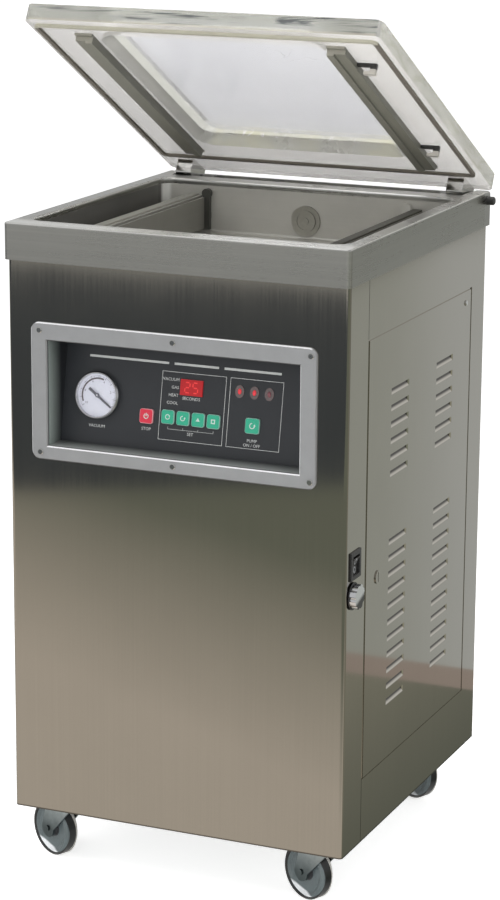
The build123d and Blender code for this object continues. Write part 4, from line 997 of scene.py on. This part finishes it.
class MACHINE_OT_key_symbols(bpy.types.Operator):
    """Put the white symbols on the keys and the stop button"""
    bl_idname = "packer.key_symbols"
    bl_label = "Key symbols"

    def execute(self, context):
        face = control_face()
        white = printed("Key Ink", (0.42, 0.50, 0.46))
        for node, symbol, size in (("key_1", ring_symbol, 4.4), ("key_2", turn_symbol, 4.4),
                                   ("key_3", up_symbol, 4.2), ("key_4", box_symbol, 4.6),
                                   ("key_5", turn_symbol, 5.0), ("stop_button", power_symbol, 4.6)):
            x, y, top = face.spot(node)
            shapes = [prism(outline, -SUNK, SYMBOL_HEIGHT) for outline in symbol(size * MM)]
            piece(node + "_symbol", moved(joined(shapes), x, y, top), face, node, white)
        return {"FINISHED"}


SEGMENTS = {"0": "abcdef", "1": "bc", "2": "abged", "3": "abgcd", "4": "fgbc", "5": "afgcd",
            "6": "afgedc", "7": "abc", "8": "abcdefg", "9": "abcfgd"}


class MACHINE_OT_display(bpy.types.Operator):
    """Light the figures behind the red window and the lamps' red windows"""
    bl_idname = "packer.display"
    bl_label = "Display and lamps"

    def execute(self, context):
        settings = context.scene.packer_panel
        face = control_face()
        x, y, top = face.spot("display_window")
        tall = settings.digit_height
        wide = tall * 0.52
        thick = tall * 0.13
        ends = {"a": ((0, tall), (wide, tall)), "b": ((wide, tall), (wide, tall / 2)),
                "c": ((wide, tall / 2), (wide, 0)), "d": ((0, 0), (wide, 0)),
                "e": ((0, 0), (0, tall / 2)), "f": ((0, tall / 2), (0, tall)),
                "g": ((0, tall / 2), (wide, tall / 2))}
        shapes = []
        pitch = tall * 0.85
        first = -(len(settings.reading) - 1) * pitch / 2 - wide / 2
        for place, figure in enumerate(settings.reading):
            for letter in SEGMENTS[figure]:
                a, b = np.array(ends[letter], float)
                gap = unit(b - a) * thick * 0.6
                bar = stroke(a + gap, b - gap, thick) + np.array([first + pitch * place, -tall / 2])
                shapes.append(prism(bar, -SUNK, FIGURE_HEIGHT))
        piece("display_figures", moved(joined(shapes), x, y, top), face, "cabinet",
              printed("Lit Figures", (0.42, 0.02, 0.02), 0.75))

        low, high = face.span("indicator_lamps")
        dome = np.array([(0, 0), (2.6, 0), (2.5, 0.4), (2.0, 0.85), (1.2, 1.15), (0, 1.25)]) * MM
        vertices, faces = turned(dome, steps=24)
        lens = (vertices * np.array([1.0, 1.5, 1.0]), faces)
        lit = moulded("Lamp Lit", (0.45, 0.02, 0.03), 0.25, dust=0.0, coat=0.4, glow=(0.7, 0.05, 0.06),
                      glow_strength=0.35)
        unlit = moulded("Lamp Unlit", (0.16, 0.05, 0.06), 0.3, dust=0.0, coat=0.4)
        places = np.linspace(low[0] + LAMP_HALF, high[0] - LAMP_HALF, 3)
        for number, across in enumerate(places, 1):
            piece(f"lamp_lens_{number}", moved(lens, across, (low[1] + high[1]) / 2, high[2] - SUNK), face,
                  "cabinet", lit if number < 3 else unlit, smooth=True)
        return {"FINISHED"}


class MACHINE_OT_switch_marks(bpy.types.Operator):
    """Mark both ends of the rocker switch"""
    bl_idname = "packer.switch_marks"
    bl_label = "Switch marks"

    def execute(self, context):
        rows = points("rocker")
        middle = (rows.min(0) + rows.max(0)) / 2

        def outermost(chosen):
            """The chosen rows' furthest point out, at the rocker's middle."""
            furthest = rows[chosen][np.argmax(rows[chosen][:, 0])]
            return np.array([furthest[0], middle[1], furthest[2]])

        ridge = outermost(np.abs(rows[:, 2] - middle[2]) < ROCKER_WAIST)
        # The two light grey ovals are printed marks and also stand in for the rocker faces' reflections:
        # painted highlight.
        oval = arc_band(2.4 * MM, 3.9 * MM, 0, 350) * np.array([1.0, 1.15])
        white = printed("Switch Ink", (0.28, 0.29, 0.30))
        for name, chosen in (("rocker_on_mark", rows[:, 2] > middle[2] + ROCKER_WAIST),
                             ("rocker_off_mark", rows[:, 2] < middle[2] - ROCKER_WAIST)):
            tip = outermost(chosen)
            up = unit((tip - ridge) * np.sign(tip[2] - ridge[2]))
            piece(name, prism(oval, -0.03 * MM, SYMBOL_HEIGHT), Plane((tip + ridge) / 2, (0.0, 1.0, 0.0), up),
                  "rocker", white)
        return {"FINISHED"}


# ---------------------------------------------------------------- stage

def sheet(name, corners, z, material, unseen):
    """A flat piece of the stage, hidden from some kinds of ray."""
    mesh = bpy.data.meshes.new(name)
    mesh.from_pydata([(x, y, z) for x, y in corners], [], [list(range(len(corners)))])
    made = put(name, mesh)
    made.data.materials.append(material)
    for ray in unseen:
        setattr(made, f"visible_{ray}", False)


def card(name, corners, z, near, far=None, way=RIGHT, span=(0, 1)):
    """A lit sheet above the floor that only shows in the steel's reflections.

    Its light changes from near to far between two places along a way.
    """
    material, tree = new_material(name)
    colour = blended(tree, between(tree, along_way(tree, way), *span), near, far or near)
    surfaced(material, {"Color": colour, "Strength": 1.0}, "ShaderNodeEmission")
    sheet(name, corners, z, material, ("camera", "diffuse", "transmission", "shadow"))


def standing(place, across, up, back):
    """Where a lamp or camera stands, from its own three ways."""
    return Matrix.Translation(place) @ Matrix(np.column_stack([across, up, back]).tolist()).to_4x4()


def softbox(name, place, target, wide, tall, power):
    """A large soft lamp turned to a target."""
    lamp = bpy.data.lights.new(name, "AREA")
    lamp.shape = "RECTANGLE"
    lamp.size, lamp.size_y = wide, tall
    lamp.energy = power
    made = put(name, lamp)
    back = unit(np.subtract(place, target))
    right = unit(np.cross(TOP, back))
    made.matrix_world = standing(place, right, np.cross(back, right), back)
    made.visible_glossy = False


class MACHINE_OT_stage(bpy.types.Operator):
    """Lay the floor, hang the lamps and stand the camera"""
    bl_idname = "packer.stage"
    bl_label = "Stage"

    def execute(self, context):
        settings = context.scene.packer_stage
        half = settings.floor_size / 2
        pale, tree = new_material("Pale Floor")
        path = add(tree, "ShaderNodeLightPath").outputs
        seen = total(tree, path["Is Camera Ray"], product(tree, path["Is Transmission Ray"], 1.6))
        surfaced(pale, {"Base Color": (*settings.floor_colour, 1), "Roughness": 0.8,
                        "Emission Color": (1, 1, 1, 1), "Emission Strength": product(tree, seen, 0.6)})
        sheet("floor", rectangle(-half, half, -half, half), 0, pale, ("glossy",))

        level = 2 * MM
        front = cad_box[0].y
        side = cad_box[1].x
        beside = side - 0.01
        card("far_sheet", rectangle(-8, 8, front - DARK_REACH, front), level, (0.085, 0.095, 0.105))
        card("near_sheet", [(-4, front), (-4, -0.47), (6, -6.07), (6, front)], 2 * level, (0.75, 0.68, 0.61),
             (0.23, 0.245, 0.20), (0.55, -1, 0), (0.45 - front, 1.3 - front))
        card("end_sheet", rectangle(-8, 8, front - 12, front - DARK_REACH), 3 * level, (0.68, 0.67, 0.64))
        # Its dark end near the machine's side stands in for the machine's shadow on the floor, as the side
        # reflects it: painted shadow.
        card("side_near_sheet", rectangle(beside, 9, front, 0.7), level, (0.16, 0.17, 0.14),
             (0.31, 0.305, 0.25), RIGHT, (0.28, 0.6))
        card("side_band_sheet", rectangle(beside, 9, 0.7, 0.8), level, (0.44, 0.37, 0.33))
        card("side_sheet", rectangle(beside, 9, 0.8, 14), level, (0.47, 0.485, 0.45),
             (0.60, 0.615, 0.61), (-2.7, 1, 0), (-0.8, -0.3))
        card("side_far_sheet", rectangle(side + 1.62, 9, 0.8, 14), 2 * level, (0.27, 0.27, 0.24))
        card("left_sheet", rectangle(-9, beside, front, 14), level, (0.55, 0.55, 0.53))

        softbox("key_lamp", (-2.6, -2.6, 3.4), (0, 0, 0.7), 2.4, 2.4, 50)
        softbox("fill_lamp", (3.4, -1.2, 2.4), (0, 0, 0.6), 2.2, 2.2, 45)
        softbox("top_lamp", (0.0, 0.6, 3.6), (0, 0, 0.9), 2.2, 2.2, 30)
        softbox("front_lamp", (0.5, -3.6, 1.75), (0, 0, 1.0), 2.0, 1.2, 26)
        softbox("low_lamp", (0.2, -2.8, 0.35), (0, 0, 1.05), 2.0, 0.6, 26)

        world = bpy.data.worlds.new("Studio")
        context.scene.world = world
        world.use_nodes = True
        sky = world.node_tree
        sky.nodes.clear()
        path = add(sky, "ShaderNodeLightPath").outputs
        seen = maths(sky, "MAXIMUM", path["Is Camera Ray"], path["Is Transmission Ray"])
        strength = total(sky, product(sky, seen, 0.6), 0.55)
        glow = add(sky, "ShaderNodeBackground", {"Color": (1, 1, 1, 1), "Strength": strength})
        add(sky, "ShaderNodeOutputWorld", {"Surface": glow.outputs[0]})

        azimuth, elevation, roll = settings.camera_azimuth, settings.camera_elevation, settings.camera_roll
        back = np.array([sin(azimuth) * cos(elevation), -cos(azimuth) * cos(elevation), sin(elevation)])
        right = unit(np.cross(-back, TOP))
        over = np.cross(right, -back)
        lens = bpy.data.cameras.new("camera")
        lens.lens = settings.lens
        lens.sensor_width = 36
        lens.clip_end = 200
        camera = put("camera", lens)
        camera.matrix_world = standing(settings.camera_place, cos(roll) * right + sin(roll) * over,
                                       -sin(roll) * right + cos(roll) * over, back)
        context.scene.camera = camera
        context.scene.view_settings.view_transform = "Standard"
        return {"FINISHED"}


# ---------------------------------------------------------------- add-on

OPERATORS = (MACHINE_OT_stage, MACHINE_OT_steelwork, MACHINE_OT_lid, MACHINE_OT_controls,
             MACHINE_OT_running_gear, MACHINE_OT_dial, MACHINE_OT_panel_print, MACHINE_OT_key_symbols,
             MACHINE_OT_display, MACHINE_OT_switch_marks)
SETTINGS = {"packer_steel": SteelSettings, "packer_panel": PanelSettings, "packer_dial": DialSettings,
            "packer_stage": StageSettings}


class MACHINE_PT_sidebar(bpy.types.Panel):
    """Buttons and sizes of the packing machine"""
    bl_label = "Packing Machine"
    bl_space_type = "VIEW_3D"
    bl_region_type = "UI"
    bl_category = "Packing Machine"

    def draw(self, context):
        for operator in OPERATORS:
            self.layout.operator(operator.bl_idname)
        for name, settings in SETTINGS.items():
            box = self.layout.box()
            for key in settings.__annotations__:
                box.prop(getattr(context.scene, name), key)


def register():
    for name, settings in SETTINGS.items():
        bpy.utils.register_class(settings)
        setattr(bpy.types.Scene, name, PointerProperty(type=settings))
    for operator in (*OPERATORS, MACHINE_PT_sidebar):
        bpy.utils.register_class(operator)


def unregister():
    for operator in (MACHINE_PT_sidebar, *reversed(OPERATORS)):
        bpy.utils.unregister_class(operator)
    for name, settings in SETTINGS.items():
        delattr(bpy.types.Scene, name)
        bpy.utils.unregister_class(settings)


def main():
    """Build every piece in order."""
    register()
    GROUPS.update(grain=brushed_grain(), skin=moulded_skin(), zones=wheel_zones(), facing=facing())
    for operator in OPERATORS:
        family, name = operator.bl_idname.split(".")
        getattr(getattr(bpy.ops, family), name)()


if __name__ == "__main__":
    main()
